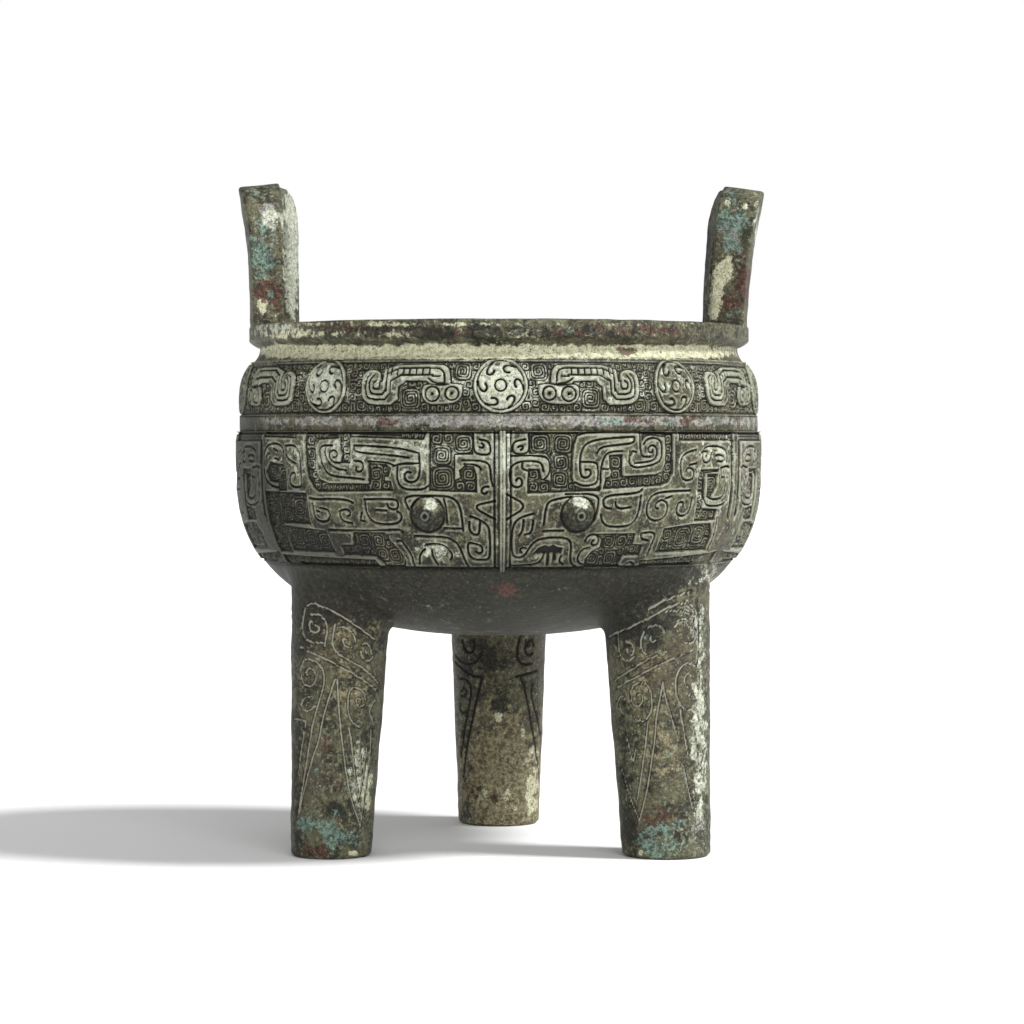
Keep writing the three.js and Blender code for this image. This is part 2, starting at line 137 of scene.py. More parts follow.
RIGHT_LINES = [
    [(9.4, 155.7), (5.8, 155.1), (4.8, 153.6), (5.1, 150.6), (10.2, 150.5), (10.9, 153), (10.6, 157.6)],
    [(6.9, 153), (8.2, 153.6), (8.7, 152.6), (7.8, 151.9)],
    [(4.5, 149.9), (15.4, 150), (17.9, 148.7), (18.3, 146), (18, 143.3), (16, 141.4)],
    [(15.8, 144.4), (15.5, 146.7), (14, 147.9), (9, 148.1), (5.6, 147.2), (3.9, 145), (3.9, 141.5),
     (4.9, 139.1), (6.8, 138.6), (8.3, 139.5), (8.2, 141.4), (6.9, 142.2), (6.2, 141.2)],
    [(8.4, 147.7), (8.1, 145.4), (10.2, 144.6)],
    [(3, 136.2), (10.5, 132.1), (3, 127.5)],
    [(12.5, 129.4), (8, 128.2), (5.4, 126), (4.8, 122), (4.8, 117.5), (5.3, 114.4), (8, 113.6),
     (10.3, 115), (11.6, 117.6), (13.6, 119.8), (16.6, 120.8), (24, 121), (27, 119.8), (27.7, 117),
     (27.8, 113.5), (28.9, 111.2), (31, 110.4)],
    [(10.3, 117.2), (8.7, 117.4), (7.9, 116.3), (8.8, 115.5)],
    [(8.9, 127.2), (8.8, 123.3), (7.3, 121.6)],
    [(9.5, 122), (12, 122.5), (12.5, 127)],
    [(4.6, 110.9), (13.6, 111.1), (16.4, 112.6), (17.6, 115.2)],
    [(24.2, 114.5), (23.4, 112.6), (25.4, 111.2)],
    [(26.5, 135.4), (20.6, 134.6), (17.6, 133.4), (16.8, 130.5), (16.4, 125.5)],
    [(16.3, 123.2), (23.9, 123.4)],
    [(24, 136.2), (36.6, 136.4), (36.4, 131), (35.4, 127)],
    [(38.3, 134), (40, 135.8), (52.4, 136.4), (54.1, 137.9)],
    [(53.5, 135.6), (53.2, 130), (51.8, 126.4), (49, 124.6), (41, 124.5), (38.4, 126.4), (37.7, 129)],
    [(38.3, 133.8), (38.8, 131.5), (41.4, 131)],
    [(43.2, 133.3), (43.5, 131.7), (45.5, 130.9), (49.4, 131.4)],
    [(77, 137.2), (68, 137), (60.3, 136.6), (57, 134.3), (56.1, 130.5), (57.6, 127.5), (61, 126.3),
     (64.6, 127.3), (66, 130), (65.6, 133), (63, 134.1), (60.5, 133), (60.1, 131.3), (61.6, 130.8)],
    [(64.6, 134.4), (67.5, 135.2)],
    [(77.7, 134.2), (77.6, 131.4), (76.2, 128.7), (73.5, 127.8), (70.8, 128.8), (70.1, 131.2),
     (71.6, 133.2), (73.6, 132.9), (73.4, 131.7)],
    [(32.6, 119.4), (33.5, 121.5), (36, 122), (38, 121), (38.2, 118.8), (36.4, 117.8), (35.1, 118.9),
     (36, 119.9)],
    [(34.8, 117.3), (31.9, 116.6), (30.6, 113.8), (31.7, 111.6), (34, 111)],
    [(55.7, 122), (60, 122.6), (62.4, 121.6), (61.9, 119.3), (61.5, 117), (61.2, 114.4)],
    [(55.7, 121.6), (56.4, 120), (59.4, 119.5)],
    [(56.6, 110.8), (54.2, 111.9), (52.2, 111), (51.4, 109.6)],
    [(28.8, 157.2), (32, 158.4), (53.4, 158.5)],
    [(50.6, 156.7), (40, 156.1), (34, 155.3), (30.8, 153.6), (29.4, 150.5), (29.2, 147.8)],
    [(50.6, 156.7), (50.6, 154.4), (44, 153.7), (38.6, 153.2), (36.4, 152.3), (35.7, 150.7)],
    [(29.3, 147.7), (34.8, 147.7), (36.2, 146.2), (36.1, 141), (34.4, 139.4), (30, 139.1), (27.6, 140.4)],
    [(29.2, 147.7), (29.3, 144), (30.1, 142.2), (32, 142), (33.4, 143.4), (32.9, 145), (31.4, 144.9)],
    [(45.8, 151.5), (41, 151.3), (38.7, 150), (37.4, 147), (37, 142), (37, 138)],
    [(37.7, 145.2), (40.3, 145.1)],
    [(53, 158.3), (52.9, 149.6), (57.2, 149.4)],
    [(48.6, 151.5), (48.3, 145.3), (58, 146.3), (61.5, 147.8), (62.5, 150), (62.4, 154.6), (60.2, 156.4),
     (56.2, 156), (54.4, 154)],
    [(50.7, 147.1), (57.5, 147.7), (60, 149), (60.4, 152.4), (58.4, 153.8), (56.4, 152.8), (56.4, 151.2),
     (57.9, 150.9), (58.4, 152)],
    [(49.1, 150), (49.6, 151.7), (51.3, 151.1)],
    [(79.6, 151.9), (75, 151.1), (72.1, 149.4), (71.2, 146), (71.7, 142.6), (73.6, 140.8), (77.4, 141),
     (78.6, 143.2), (77.4, 145.3), (75, 145.5), (74.2, 144.1)],
    [(80, 147.1), (75.8, 146.3)],
    [(82.6, 150.8), (85, 153), (90, 153.3), (95, 153), (98.2, 151.5), (99.1, 149.3), (98.6, 147.6)],
    [(88.3, 150.6), (87.6, 148), (85.1, 146.9), (83, 148.4), (83.2, 150.8), (85.4, 151.7), (86.4, 150.3),
     (85, 149.4)],
    [(91, 149.6), (93, 150.2), (97, 149.7), (97.4, 147.5), (92, 147.8)],
    [(94.6, 145.2), (99.4, 146), (101, 145.4)],
    [(94.6, 145), (94.9, 141.6), (97.2, 141.9)],
    [(84.6, 141), (84.4, 136), (85.4, 132.6), (88, 131.3), (95, 131.4), (99.8, 133), (101, 137),
     (100.8, 143.5)],
    [(86.3, 136), (88.5, 133.8), (95, 133.9), (97.5, 136), (97.5, 139)],
    [(95.6, 115.6), (95.9, 121), (94.9, 127)],
]
RIGHT_HOLLOWS = [
    [(12.8, 114.8), (14.8, 117.2), (17.4, 118.2), (19, 117.6), (20.5, 118.4), (22.3, 117.5), (24.3, 117.2),
     (24, 115.3), (22.3, 114.7), (22.4, 112.8), (21, 112.4), (20.6, 115), (19.7, 114.8), (19.6, 110.9),
     (18.6, 110.9), (18.3, 114.7), (16, 115)],
]

# The front mask, left half
LEFT_GROUNDS = [
    [(-9.2, 158.2), (-24.8, 158.2), (-24.9, 137.6), (-15.7, 137.2), (-15.7, 150.3), (-9.2, 150.5)],
    [(-15.7, 141.3), (-13.6, 142), (-14, 144.6), (-12, 146.4), (-9, 146), (-7.9, 143), (-7.8, 137.1),
     (-15.7, 137.2)],
    [(-26, 158.4), (-56.2, 158.4), (-56.2, 156.7), (-44, 156.4), (-27, 155.7)],
    [(-56.2, 158.4), (-60.6, 158.4), (-60.8, 154.5), (-60, 151), (-60.2, 147.4), (-56.2, 147.4)],
    [(-48.3, 147.1), (-41.5, 146.8), (-39.6, 145.4), (-40.4, 142.7), (-42, 142.5), (-42, 140.8),
     (-39.6, 140.7), (-38.8, 137.6), (-71, 136.9), (-73.5, 138.5), (-75.5, 141.5), (-77, 146), (-77.8, 155),
     (-76.7, 158.4), (-60.5, 158.4), (-61.3, 156.3), (-70.4, 155.8), (-72.3, 152), (-72.2, 145),
     (-70, 141.2), (-66, 139.8), (-48.3, 139.8)],
    [(-99.2, 147.4), (-90, 146.3), (-88.3, 144), (-88.3, 137.2), (-94.2, 137), (-94.2, 140), (-99.8, 140.6),
     (-102, 144)],
    [(-104, 136.6), (-77.4, 136.2), (-77.2, 125.2), (-93.6, 125.4), (-94.4, 114.6), (-104, 114.8)],
    [(-93.5, 124.2), (-70, 122.6), (-68.2, 115), (-93.6, 115.3)],
    [(-64, 117.6), (-58.2, 117.7), (-57, 122.3), (-43.5, 122.3), (-42, 119.5), (-38.6, 116), (-37, 112.5),
     (-38, 110.2), (-46.5, 110.2), (-49.5, 113.8), (-63.8, 114.4)],
    [(-50.5, 112.4), (-104, 113.3), (-104, 110), (-49, 110)],
    [(-104, 158.3), (-82, 158.3), (-82.5, 156.4), (-104, 156.8)],
]
LEFT_SPIRALS = [
    (-12.6, 154.3, 3.3), (-20.5, 150, 3.4), (-20.2, 142, 4.2), (-22.4, 156, 2.1), (-18.2, 156.2, 1.8),
    (-10.6, 143.4, 2.5), (-13.9, 139, 1.8), (-10, 139, 1.8), (-45.6, 143.2, 2.5), (-45.5, 139.3, 2),
    (-58.4, 156.4, 1.8), (-58.3, 152.2, 1.7), (-58.2, 149, 1.7), (-75.2, 155.6, 2), (-75, 150.6, 2),
    (-74.6, 146.6, 1.8), (-73, 142.6, 1.8), (-71.8, 139, 1.8), (-53.2, 119.2, 2.7), (-47, 119.3, 2.6),
    (-41.3, 114, 2.8), (-97.5, 143.8, 3.4), (-91, 143, 2.2), (-91, 133.2, 2.6), (-90.3, 128.4, 2.6),
    (-88, 120.3, 3.6), (-79.3, 119.8, 3.3), (-98, 131, 3),
]
LEFT_LINES = [
    [(-6.8, 155.7), (-4, 155.2), (-2.9, 153.4), (-2.9, 150.2), (-7.5, 150.4), (-8.9, 151.8), (-9.1, 157.6)],
    [(-6.8, 153), (-5.6, 152.6), (-5.2, 153.7), (-6, 154.3)],
    [(-13, 148.3), (-6.5, 148.2), (-3.6, 147.3), (-2.9, 145), (-2.6, 141), (-2, 139.2)],
    [(-12.2, 147), (-9, 146.9), (-6.9, 146.1), (-6.3, 145)],
    [(-3.6, 139), (-5.6, 138.8), (-6.3, 137.2), (-5, 136.2), (-4.2, 137)],
    [(-1.3, 133.9), (-10, 132.1), (-1.3, 127.4)],
    [(-10.3, 128.6), (-7, 127.3), (-4.2, 125.5), (-3.3, 123.5), (-3.2, 116), (-3.6, 113.3), (-6, 113),
     (-10.2, 113.2), (-11.7, 115.5), (-11.5, 119.4), (-9, 118.8), (-6.4, 118), (-5.9, 115.9),
     (-7.4, 115.2), (-8.7, 116)],
    [(-10.6, 126.5), (-10.8, 123.6), (-9.3, 122), (-7.1, 121.9), (-6.7, 127)],
    [(-31.5, 121.4), (-19.5, 121.2), (-16, 119.5), (-14.4, 117), (-13.2, 113), (-11.8, 110.4)],
    [(-27.6, 118.3), (-24.5, 118.7), (-21, 118.3), (-19, 116.8), (-17.6, 114.6), (-18.6, 113)],
    [(-25.6, 116.3), (-25.6, 114), (-24, 111.2)],
    [(-28.2, 116.8), (-30.8, 114.6), (-31.4, 111.4)],
    [(-32.8, 130.8), (-35, 135.6), (-25, 135.7), (-18.5, 135.6), (-15.5, 134.5), (-13.9, 132),
     (-13.3, 128), (-13, 123.4)],
    [(-13.2, 124.1), (-20, 124.3)],
    [(-19.7, 134.6), (-18.9, 131), (-18.8, 126.5)],
    [(-29.4, 134.5), (-32, 131.6)],
    [(-50.3, 134.3), (-38.5, 134.6), (-36.9, 133.4), (-36.9, 131.5), (-38.4, 130.6), (-40.6, 131.2),
     (-41.2, 132.8)],
    [(-50, 133.4), (-50, 130), (-48.5, 127), (-45.5, 125.5), (-38.5, 125.5), (-36, 127), (-35.8, 129),
     (-37.4, 130.2)],
    [(-46, 130.6), (-41.6, 130.4)],
    [(-75.6, 134.6), (-72.5, 134), (-65, 134.4), (-58, 134.1), (-55.2, 133)],
    [(-71.2, 131), (-67, 130.6), (-66.2, 128.5), (-67.5, 126.5), (-70, 126), (-73.2, 126.6),
     (-74.3, 129), (-74.2, 132.5)],
    [(-72.6, 130), (-71.2, 129.6)],
    [(-61.6, 130), (-59, 130.8), (-57, 130.2), (-56.8, 128.7), (-58, 128.3)],
    [(-61.4, 129.5), (-61.4, 127.4), (-59.5, 126), (-56.5, 125.8)],
    [(-51.8, 129.6), (-53, 126.6), (-51, 126.5)],
    [(-68, 123.2), (-50, 123), (-42, 123.4), (-37.2, 123.8), (-36, 122.6)],
    [(-42.4, 121.8), (-42, 119.6), (-40, 117.5), (-38.6, 115.5), (-38.6, 113.8)],
    [(-39, 119.6), (-37, 119.8), (-35.6, 117.6), (-34, 114.5), (-33.8, 110.6)],
    [(-36.8, 145.8), (-37.1, 141.5), (-35.5, 138.7), (-33, 137.8), (-27, 137.9), (-25.3, 139.2)],
    [(-28.7, 150.8), (-28.3, 144.6), (-28.9, 141.6), (-31, 140.3), (-33.4, 140.8), (-34.4, 142.8),
     (-33.3, 144.3), (-31.7, 143.9)],
    [(-38.4, 146.2), (-35.5, 147.1), (-31, 147.2), (-28.8, 147.2)],
    [(-54.4, 153.6), (-40, 153), (-33, 152), (-29.2, 150.9)],
    [(-54.4, 153.6), (-54.5, 151.2), (-45, 150.5), (-36, 149.7), (-32.6, 149.2)],
    [(-48.6, 147.8), (-41, 147.5), (-38.4, 146.5)],
    [(-54.6, 148.1), (-51, 147.9), (-50.4, 145.4), (-51.6, 144), (-53.3, 144.3), (-53.4, 145.8)],
    [(-50.3, 141.4), (-55, 141.9), (-63, 142.4), (-66.4, 143.4), (-68.9, 147), (-70.2, 151),
     (-69.2, 153.6), (-64, 153.6)],
    [(-57.6, 144.6), (-62, 145.1), (-65.4, 147), (-67.4, 150), (-67.4, 152.5)],
    [(-60.5, 147.3), (-63.5, 147.4), (-65.4, 149), (-65.2, 151.3), (-63.4, 152), (-61.8, 151), (-62, 149.4),
     (-63.4, 149.3)],
    [(-89, 153.4), (-84, 153.8), (-81.3, 152), (-80, 149), (-79.7, 144), (-79.4, 140), (-80, 138.4),
     (-84, 138.3), (-86, 139.8), (-85.8, 142.5), (-84.2, 144), (-82.6, 143), (-83.2, 141.5)],
    [(-88.5, 150.4), (-86.5, 148.1), (-82.6, 147)],
    [(-83.8, 152), (-84.2, 149.8)],
    [(-89.6, 151), (-91, 153.6), (-97, 154.5), (-101, 153.5), (-103.6, 151), (-103.8, 146), (-102.8, 141.5),
     (-99.5, 139), (-94, 138)],
    [(-96.5, 152.4), (-93.6, 151.4)],
    [(-96, 148.9), (-93, 148.3)],
    [(-102, 149.2), (-100.4, 151), (-99, 150.4), (-99.2, 148.9)],
    [(-84.4, 134.4), (-80.6, 134), (-79, 131.4)],
    [(-85, 129.9), (-80, 128.6)],
    [(-94.5, 115), (-95, 121), (-94.5, 125)],
]
LEFT_HOLLOWS = []

# One dragon of the frieze, head at the left: x from the roundel before it, v as above
DRAGON_BODY = [
    (18.1, 175.4), (18.3, 179), (19.4, 181.4), (21.6, 182.5), (44.1, 182.2), (44.2, 176.4), (45, 176.4),
    (45, 178.6), (46.2, 180.2), (48.9, 180.8), (51.4, 180.2), (53, 178.4), (53, 172.2), (51.8, 169.6),
    (48.9, 168), (38, 168), (37.8, 176.6), (27.2, 176.6), (26, 175.4),
]
DRAGON_HEAD = [
    (13.8, 175.2), (13.8, 171.4), (15.8, 168.9), (21, 168.1), (26.4, 168.2), (28.7, 170.4), (28.9, 174.2),
    (27.2, 175.6), (21.6, 174.7), (17.6, 175.6),
]
DRAGON_LINES = [
    [(20.4, 175.4), (20.5, 178.8), (21.8, 180.6), (24.3, 181.1), (42.6, 181), (42.6, 173)],
    [(24.8, 178.6), (41.1, 178.6), (41.1, 170.1), (48.8, 170), (51, 171.6), (51, 177.6), (49.4, 178.9)],
    [(42.6, 181), (42.6, 171.9), (47.9, 171.8), (49.5, 173.2), (49.5, 176.8), (48, 178.4)],
    [(45.4, 176.6), (45.2, 173.8), (47.8, 173.7), (48.2, 175.8), (46.8, 176.6)],
    [(20.6, 175.6), (24.4, 175.9), (26.4, 177.4)],
    [(22.2, 178.2), (25.2, 178.1)],
]
DRAGON_EYES = [(17.6, 172.1, 2.5), (24.8, 171.9, 2.7)]
DRAGON_BEADS = [26.2, 28.8, 31.3, 33.8, 36.2, 38.6, 41]
BEAD_FOOT, BEAD_TOP = 178.7, 180.9
DRAGON_SPIRALS = [
    (14, 180.1, 3.3), (33.2, 170.4, 3.7), (12.8, 172.4, 1.6), (12.6, 168.6, 1.6), (57.2, 179.4, 1.6),
    (57.2, 175, 1.6), (57.2, 170.9, 1.6), (48.4, 182.9, 1.2), (52.8, 182.3, 1.7), (47, 175.6, 1.7),
    (33, 176, 1.6),
]
# Whether a dragon's head comes first, going towards +X from the roundel at the front
HEADS_FIRST = [True, False, True, False, True, True, False, True, False]

# Roundels: height of their middle, radius, radius and half width of their grooves, and the route of a hook
# as radius and angle in radians
ROUNDEL_V = FRIEZE_FOOT + FRIEZE / 2 + 0.4
ROUNDEL_RADIUS = 9.8
ROUNDEL_SWELL = 0.35
ROUNDEL_GROOVES = [(8.6, 0.12), (2.05, 0.15)]
HOOKS = 6
HOOK_LEAN = 20
HOOK = [(8.4, -0.52), (7.7, -0.2), (6.5, 0.02), (5.4, -0.04), (4.9, -0.26), (5.5, -0.44)]
HOOK_DEPTH = 1.05

# Lines above and below a mask: height and depth
MASK_BORDERS = [(158.1, 0.8), (110.0, 0.9)]

# The flange on a mask's nose line: half widths of its top and foot, rise, and the groove's place and depth
FLANGE_TOP = 0.75
FLANGE_HALF = 1.5
FLANGE_RISE = 2.5
FLANGE_SINK = 0.3
FLANGE_GROOVE = 2.9
GROOVE_DEPTH = 0.9

# Eye bosses by side: u and v. Then their radius, height and bluntness, and the pit with a ring round it
EYES = {1: (29.0, 129.2), -1: (-25.9, 129.2)}
EYE_RADIUS = 6.0
EYE_HEIGHT = 4.3
EYE_BLUNTNESS = 1.8
EYE_GROOVE_DEPTH = 0.8
PIT_DEPTH = 1.1
PIT_RING = 1.9
PIT_RING_DEPTH = 0.25

NOISE_TABLE = 64


# Numbers that look random come from seeded tables
def value_noise(x, y, size, seed):
    """Smooth noise from -1 to 1 with bumps of about the given size."""
    table = np.random.RandomState(seed).uniform(-1, 1, (NOISE_TABLE, NOISE_TABLE))
    column = np.floor(x / size).astype(int)
    row = np.floor(y / size).astype(int)
    s = x / size - column
    t = y / size - row
    s = s * s * (3 - 2 * s)
    t = t * t * (3 - 2 * t)

    def at(i, j):
        return table[(row + j) % NOISE_TABLE, (column + i) % NOISE_TABLE]

    low = at(0, 0) * (1 - s) + at(1, 0) * s
    high = at(0, 1) * (1 - s) + at(1, 1) * s
    return low * (1 - t) + high * t


def step_up(value, low, high):
    """0 up to the low value, 1 from the high value on, and a smooth step between them."""
    share = np.clip((value - low) / (high - low), 0, 1)
    return share * share * (3 - 2 * share)


def line_at(value, level, core, edge):
    """1 within the core's distance of a level, falling to 0 at the edge's distance from it."""
    return 1 - step_up(np.abs(value - level), core, edge)


def ring(x, y, radius):
    turns = np.linspace(0, 2 * math.pi, 13)
    return [(x + radius * math.cos(turn), y + radius * math.sin(turn)) for turn in turns]


def rounded(points, rounds):
    """A route with its corners cut, as a chisel or a wax tool leaves them."""
    for _ in range(rounds):
        cut = [points[0]]
        for (x0, y0), (x1, y1) in zip(points, points[1:]):
            cut.append((x0 * 0.75 + x1 * 0.25, y0 * 0.75 + y1 * 0.25))
            cut.append((x0 * 0.25 + x1 * 0.75, y0 * 0.25 + y1 * 0.75))
        cut.append(points[-1])
        points = cut
    return points


class Sheet:
    """A flat field of heights over an even grid of u and v."""

    def __init__(self, left, right, foot, top, pitch):
        self.columns = int(round((right - left) / pitch)) + 1
        self.rows = int(round((top - foot) / pitch)) + 1
        across = np.linspace(left, right, self.columns)
        self.u, self.v = np.meshgrid(across, np.linspace(foot, top, self.rows))
        self.shape = self.u.shape
        self.left, self.foot = left, foot
        self.step_u = (right - left) / (self.columns - 1)
        self.step_v = (top - foot) / (self.rows - 1)

    def window(self, points, margin):
        """The rows and columns of the box round some points, widened by a margin."""
        us = [p[0] for p in points]
        vs = [p[1] for p in points]
        first = max(int((min(us) - margin - self.left) / self.step_u), 0)
        last = min(int((max(us) + margin - self.left) / self.step_u) + 2, self.columns)
        low = max(int((min(vs) - margin - self.foot) / self.step_v), 0)
        high = min(int((max(vs) + margin - self.foot) / self.step_v) + 2, self.rows)
        return slice(low, max(high, low)), slice(first, max(last, first))

    def gap_to(self, points, reach):
        """Distance to a route, no larger than reach."""
        gap = np.full(self.shape, float(reach))
        for start, end in zip(points, points[1:]):
            part = self.window([start, end], reach)
            u, v = self.u[part], self.v[part]
            along_u, along_v = end[0] - start[0], end[1] - start[1]
            share = (u - start[0]) * along_u + (v - start[1]) * along_v
            share = np.clip(share / max(along_u ** 2 + along_v ** 2, 1e-9), 0, 1)
            here = np.hypot(u - start[0] - share * along_u, v - start[1] - share * along_v)
            gap[part] = np.minimum(gap[part], here)
        return gap

    def depth_in(self, outline):
        """Distance inside an outline, negative outside it, no larger than a reach."""
        closed = list(outline) + [outline[0]]
        inside = np.zeros(self.shape, bool)
        for (x0, y0), (x1, y1) in zip(closed, closed[1:]):
            if y0 == y1:
                continue
            crosses = (self.v > min(y0, y1)) & (self.v <= max(y0, y1))
            inside ^= crosses & (self.u < x0 + (self.v - y0) / (y1 - y0) * (x1 - x0))
        gap = self.gap_to(closed, OUTLINE_REACH)
        return np.where(inside, gap, -gap)


def spiral_lines(sheet, ground, spirals, period, smallest):
    """Height share of the fine spirals that fill a ground: 1 on their ridges, 0 in their grooves."""
    chosen = list(spirals)
    free = ground.copy()
    across = {}

    def reach_of(u, v):
        return (np.abs(sheet.u - u) ** 4 + np.abs(sheet.v - v) ** 4) ** 0.25

    for u, v, radius in chosen:
        across[(u, v)] = reach_of(u, v)
        free = np.minimum(free, across[(u, v)] - radius)
    for _ in range(MOST_SPIRALS):
        best = np.unravel_index(np.argmax(free), free.shape)
        radius = min(free[best] * SPIRAL_STRETCH, BIGGEST_SPIRAL)
        if free[best] < smallest:
            break
        u, v = float(sheet.u[best]), float(sheet.v[best])
        chosen.append((u, v, radius))
        across[(u, v)] = reach_of(u, v)
        free = np.minimum(free, across[(u, v)] - radius)
    lines = 0.5 - 0.5 * np.cos(2 * math.pi * np.clip(free, 0, None) / period)
    for number, (u, v, radius) in enumerate(chosen):
        away = across[(u, v)]
        part = away < radius
        hand = 1 if number % 2 else -1
        turn = np.arctan2(sheet.v[part] - v, sheet.u[part] - u) * hand / (2 * math.pi)
        wave = 0.5 - 0.5 * np.cos(2 * math.pi * ((radius - away[part]) / period + turn))
        lines[part] = wave
    return lines * step_up(ground, 0.05, period * 0.45)


def relief_of(sheet, ground, spirals, lines, hollows, fineness, line_width, rounds):
    """Heights of plates, grounds and cut lines together."""
    _, period, smallest = fineness
    fine = spiral_lines(sheet, ground, spirals, period, smallest)
    plate = 1 - step_up(ground, -0.42, 0.16)
    ground_height = GROUND_LEVEL + (LEIWEN_LEVEL - GROUND_LEVEL) * fine
    height = ground_height * (1 - plate) + PLATE_LEVEL * plate
    # Plates are a little fuller in their middle than along their edges
    height += plate * PLATE_SWELL * step_up(-ground, 0.2, 2.2)
    cut = np.zeros(sheet.shape)
    wander = value_noise(sheet.u, sheet.v, 5.0, 71) * 0.05
    for route in lines:
        gap = sheet.gap_to(rounded(route, rounds), CUT_REACH) + wander
        cut = np.maximum(cut, 1 - step_up(gap, line_width * 0.35, line_width * 1.45))
    height -= plate * cut * (PLATE_LEVEL - GROUND_LEVEL) * CUT_SHARE
    for outline in hollows:
        height -= plate * step_up(sheet.depth_in(outline), -0.3, 0.5) * HOLLOW_DEPTH
    return height


def mirrored(groups, middle):
    """The same shapes on the other side of a line of constant u."""
    return [[(2 * middle - p[0], *p[1:]) for p in group] for group in groups]


def mask_heights(side, fineness, drawn_left):
    """One half of a mask. Its sheet's u runs from the nose line to the seam on its own side."""
    grounds, spirals, lines, hollows = RIGHT_GROUNDS, RIGHT_SPIRALS, RIGHT_LINES, RIGHT_HOLLOWS
    eye_u, eye_v = EYES[1]
    if side < 0 and drawn_left:
        grounds, spirals, lines, hollows = LEFT_GROUNDS, LEFT_SPIRALS, LEFT_LINES, LEFT_HOLLOWS
        eye_u, eye_v = EYES[-1]
    elif side < 0:
        grounds, lines, hollows = [mirrored(group, NOSE_U) for group in (grounds, lines, hollows)]
        spirals = mirrored([spirals], NOSE_U)[0]
        eye_u = 2 * NOSE_U - eye_u
    ends = sorted([NOSE_U, NOSE_U + side * MASK_HALF])
    sheet = Sheet(*ends, MASK_FOOT, MASK_TOP, fineness[0])
    ground = np.maximum.reduce([sheet.depth_in(outline) for outline in grounds])
    height = relief_of(sheet, ground, spirals, lines, hollows, fineness, MASK_LINE, 2)
    for level, depth in MASK_BORDERS:
        height -= depth * line_at(sheet.v, level, 0.15, 0.6)
    # The flange, with a groove beside it
    away = np.abs(sheet.u - NOSE_U)
    height -= GROOVE_DEPTH * line_at(away, FLANGE_GROOVE, 0.1, 0.6)
    ridge = 1 - step_up(away, FLANGE_TOP, FLANGE_HALF)
    height = np.where(away < FLANGE_HALF, np.maximum(height, ridge * FLANGE_RISE - FLANGE_SINK), height)
    # The eye, a blunt cone with a pit, and a groove round it
    eye = np.hypot(sheet.u - eye_u, sheet.v - eye_v)
    height -= EYE_GROOVE_DEPTH * line_at(eye, EYE_RADIUS + 0.3, 0.1, 0.7)
    dome = EYE_HEIGHT * (1 - np.clip(eye / EYE_RADIUS, 0, 1) ** EYE_BLUNTNESS)
    pit = PIT_DEPTH * (1 - step_up(eye, 0.25, 1.15)) + PIT_RING_DEPTH * line_at(eye, PIT_RING, 0.1, 0.5)
    height = np.where(eye < EYE_RADIUS, PLATE_LEVEL - 0.2 + dome - pit, height)
    return sheet, height


def roundel_heights(sheet, centre):
    """Share of cover and height of a whorl roundel."""
    away = np.hypot(sheet.u - centre, sheet.v - ROUNDEL_V)
    cover = 1 - step_up(away, ROUNDEL_RADIUS - 0.6, ROUNDEL_RADIUS)
    height = PLATE_LEVEL + ROUNDEL_SWELL * np.sqrt(np.clip(1 - (away / 10.5) ** 2, 0, 1))
    for radius, half_width in ROUNDEL_GROOVES:
        height -= GROOVE_DEPTH * line_at(away, radius, half_width, 0.5)
    cut = np.zeros(sheet.shape)
    for hook in range(HOOKS):
        lean = math.radians(hook * 360 / HOOKS + HOOK_LEAN)
        route = []
        for radius, swing in HOOK:
            turn = lean + swing
            route.append((centre + radius * math.cos(turn), ROUNDEL_V + radius * math.sin(turn)))
        cut = np.maximum(cut, 1 - step_up(sheet.gap_to(rounded(route, 2), CUT_REACH), 0.25, 0.7))
    return cover, height - cut * HOOK_DEPTH


def frieze_heights(first_u, last_u, fineness):
    """Roundels and dragons between two places round the frieze."""
    sheet = Sheet(first_u, last_u, FRIEZE_FOOT, FRIEZE_TOP, fineness[0])
    ground = np.minimum(sheet.v - FRIEZE_FOOT - 0.9, FRIEZE_TOP - 1.1 - sheet.v)
    lines, spirals, centres = [], [], []
    for cell in range(-9, 10):
        start = ROUNDEL_U + cell * CELL
        if start + CELL < first_u - 12 or start > last_u + 12:
            continue
        centres.append(start)
        head_first = HEADS_FIRST[cell % 9]

        def laid(points):
            if head_first:
                return [(start + p[0], *p[1:]) for p in points]
            return [(start + CELL - p[0], *p[1:]) for p in points]

        for outline in (DRAGON_BODY, DRAGON_HEAD):
            ground = np.minimum(ground, -sheet.depth_in(rounded(laid(outline), 1)))
        beads = [[(x, BEAD_FOOT), (x, BEAD_TOP)] for x in DRAGON_BEADS]
        eyes = [ring(*eye) for eye in DRAGON_EYES] + [ring(x, v, 0.2) for x, v, _ in DRAGON_EYES]
        lines += [laid(route) for route in DRAGON_LINES + beads + eyes]
        spirals += laid(DRAGON_SPIRALS)
    for centre in centres:
        away = np.hypot(sheet.u - centre, sheet.v - ROUNDEL_V)
        ground = np.minimum(ground, away - ROUNDEL_RADIUS - 0.1)
    height = relief_of(sheet, ground, spirals, lines, [], fineness, FRIEZE_LINE, 1)
    for centre in centres:
        cover, disc = roundel_heights(sheet, centre)
        height = height * (1 - cover) + disc * cover
    for level in (FRIEZE_FOOT + 0.5, FRIEZE_TOP - 0.45):
        height -= 0.7 * line_at(sheet.v, level, 0.1, 0.5)
    return sheet, height


# Faces of the bowl: radius at a height
def belly_radius(z, radius=BELLY_RADIUS, depth=BELLY_DEPTH):
    drop = np.clip((WIDEST - z) / depth, 0, 1)
    return radius * np.clip(1 - drop ** BELLY_POWER, 1e-9, 1) ** (1 / BELLY_POWER)


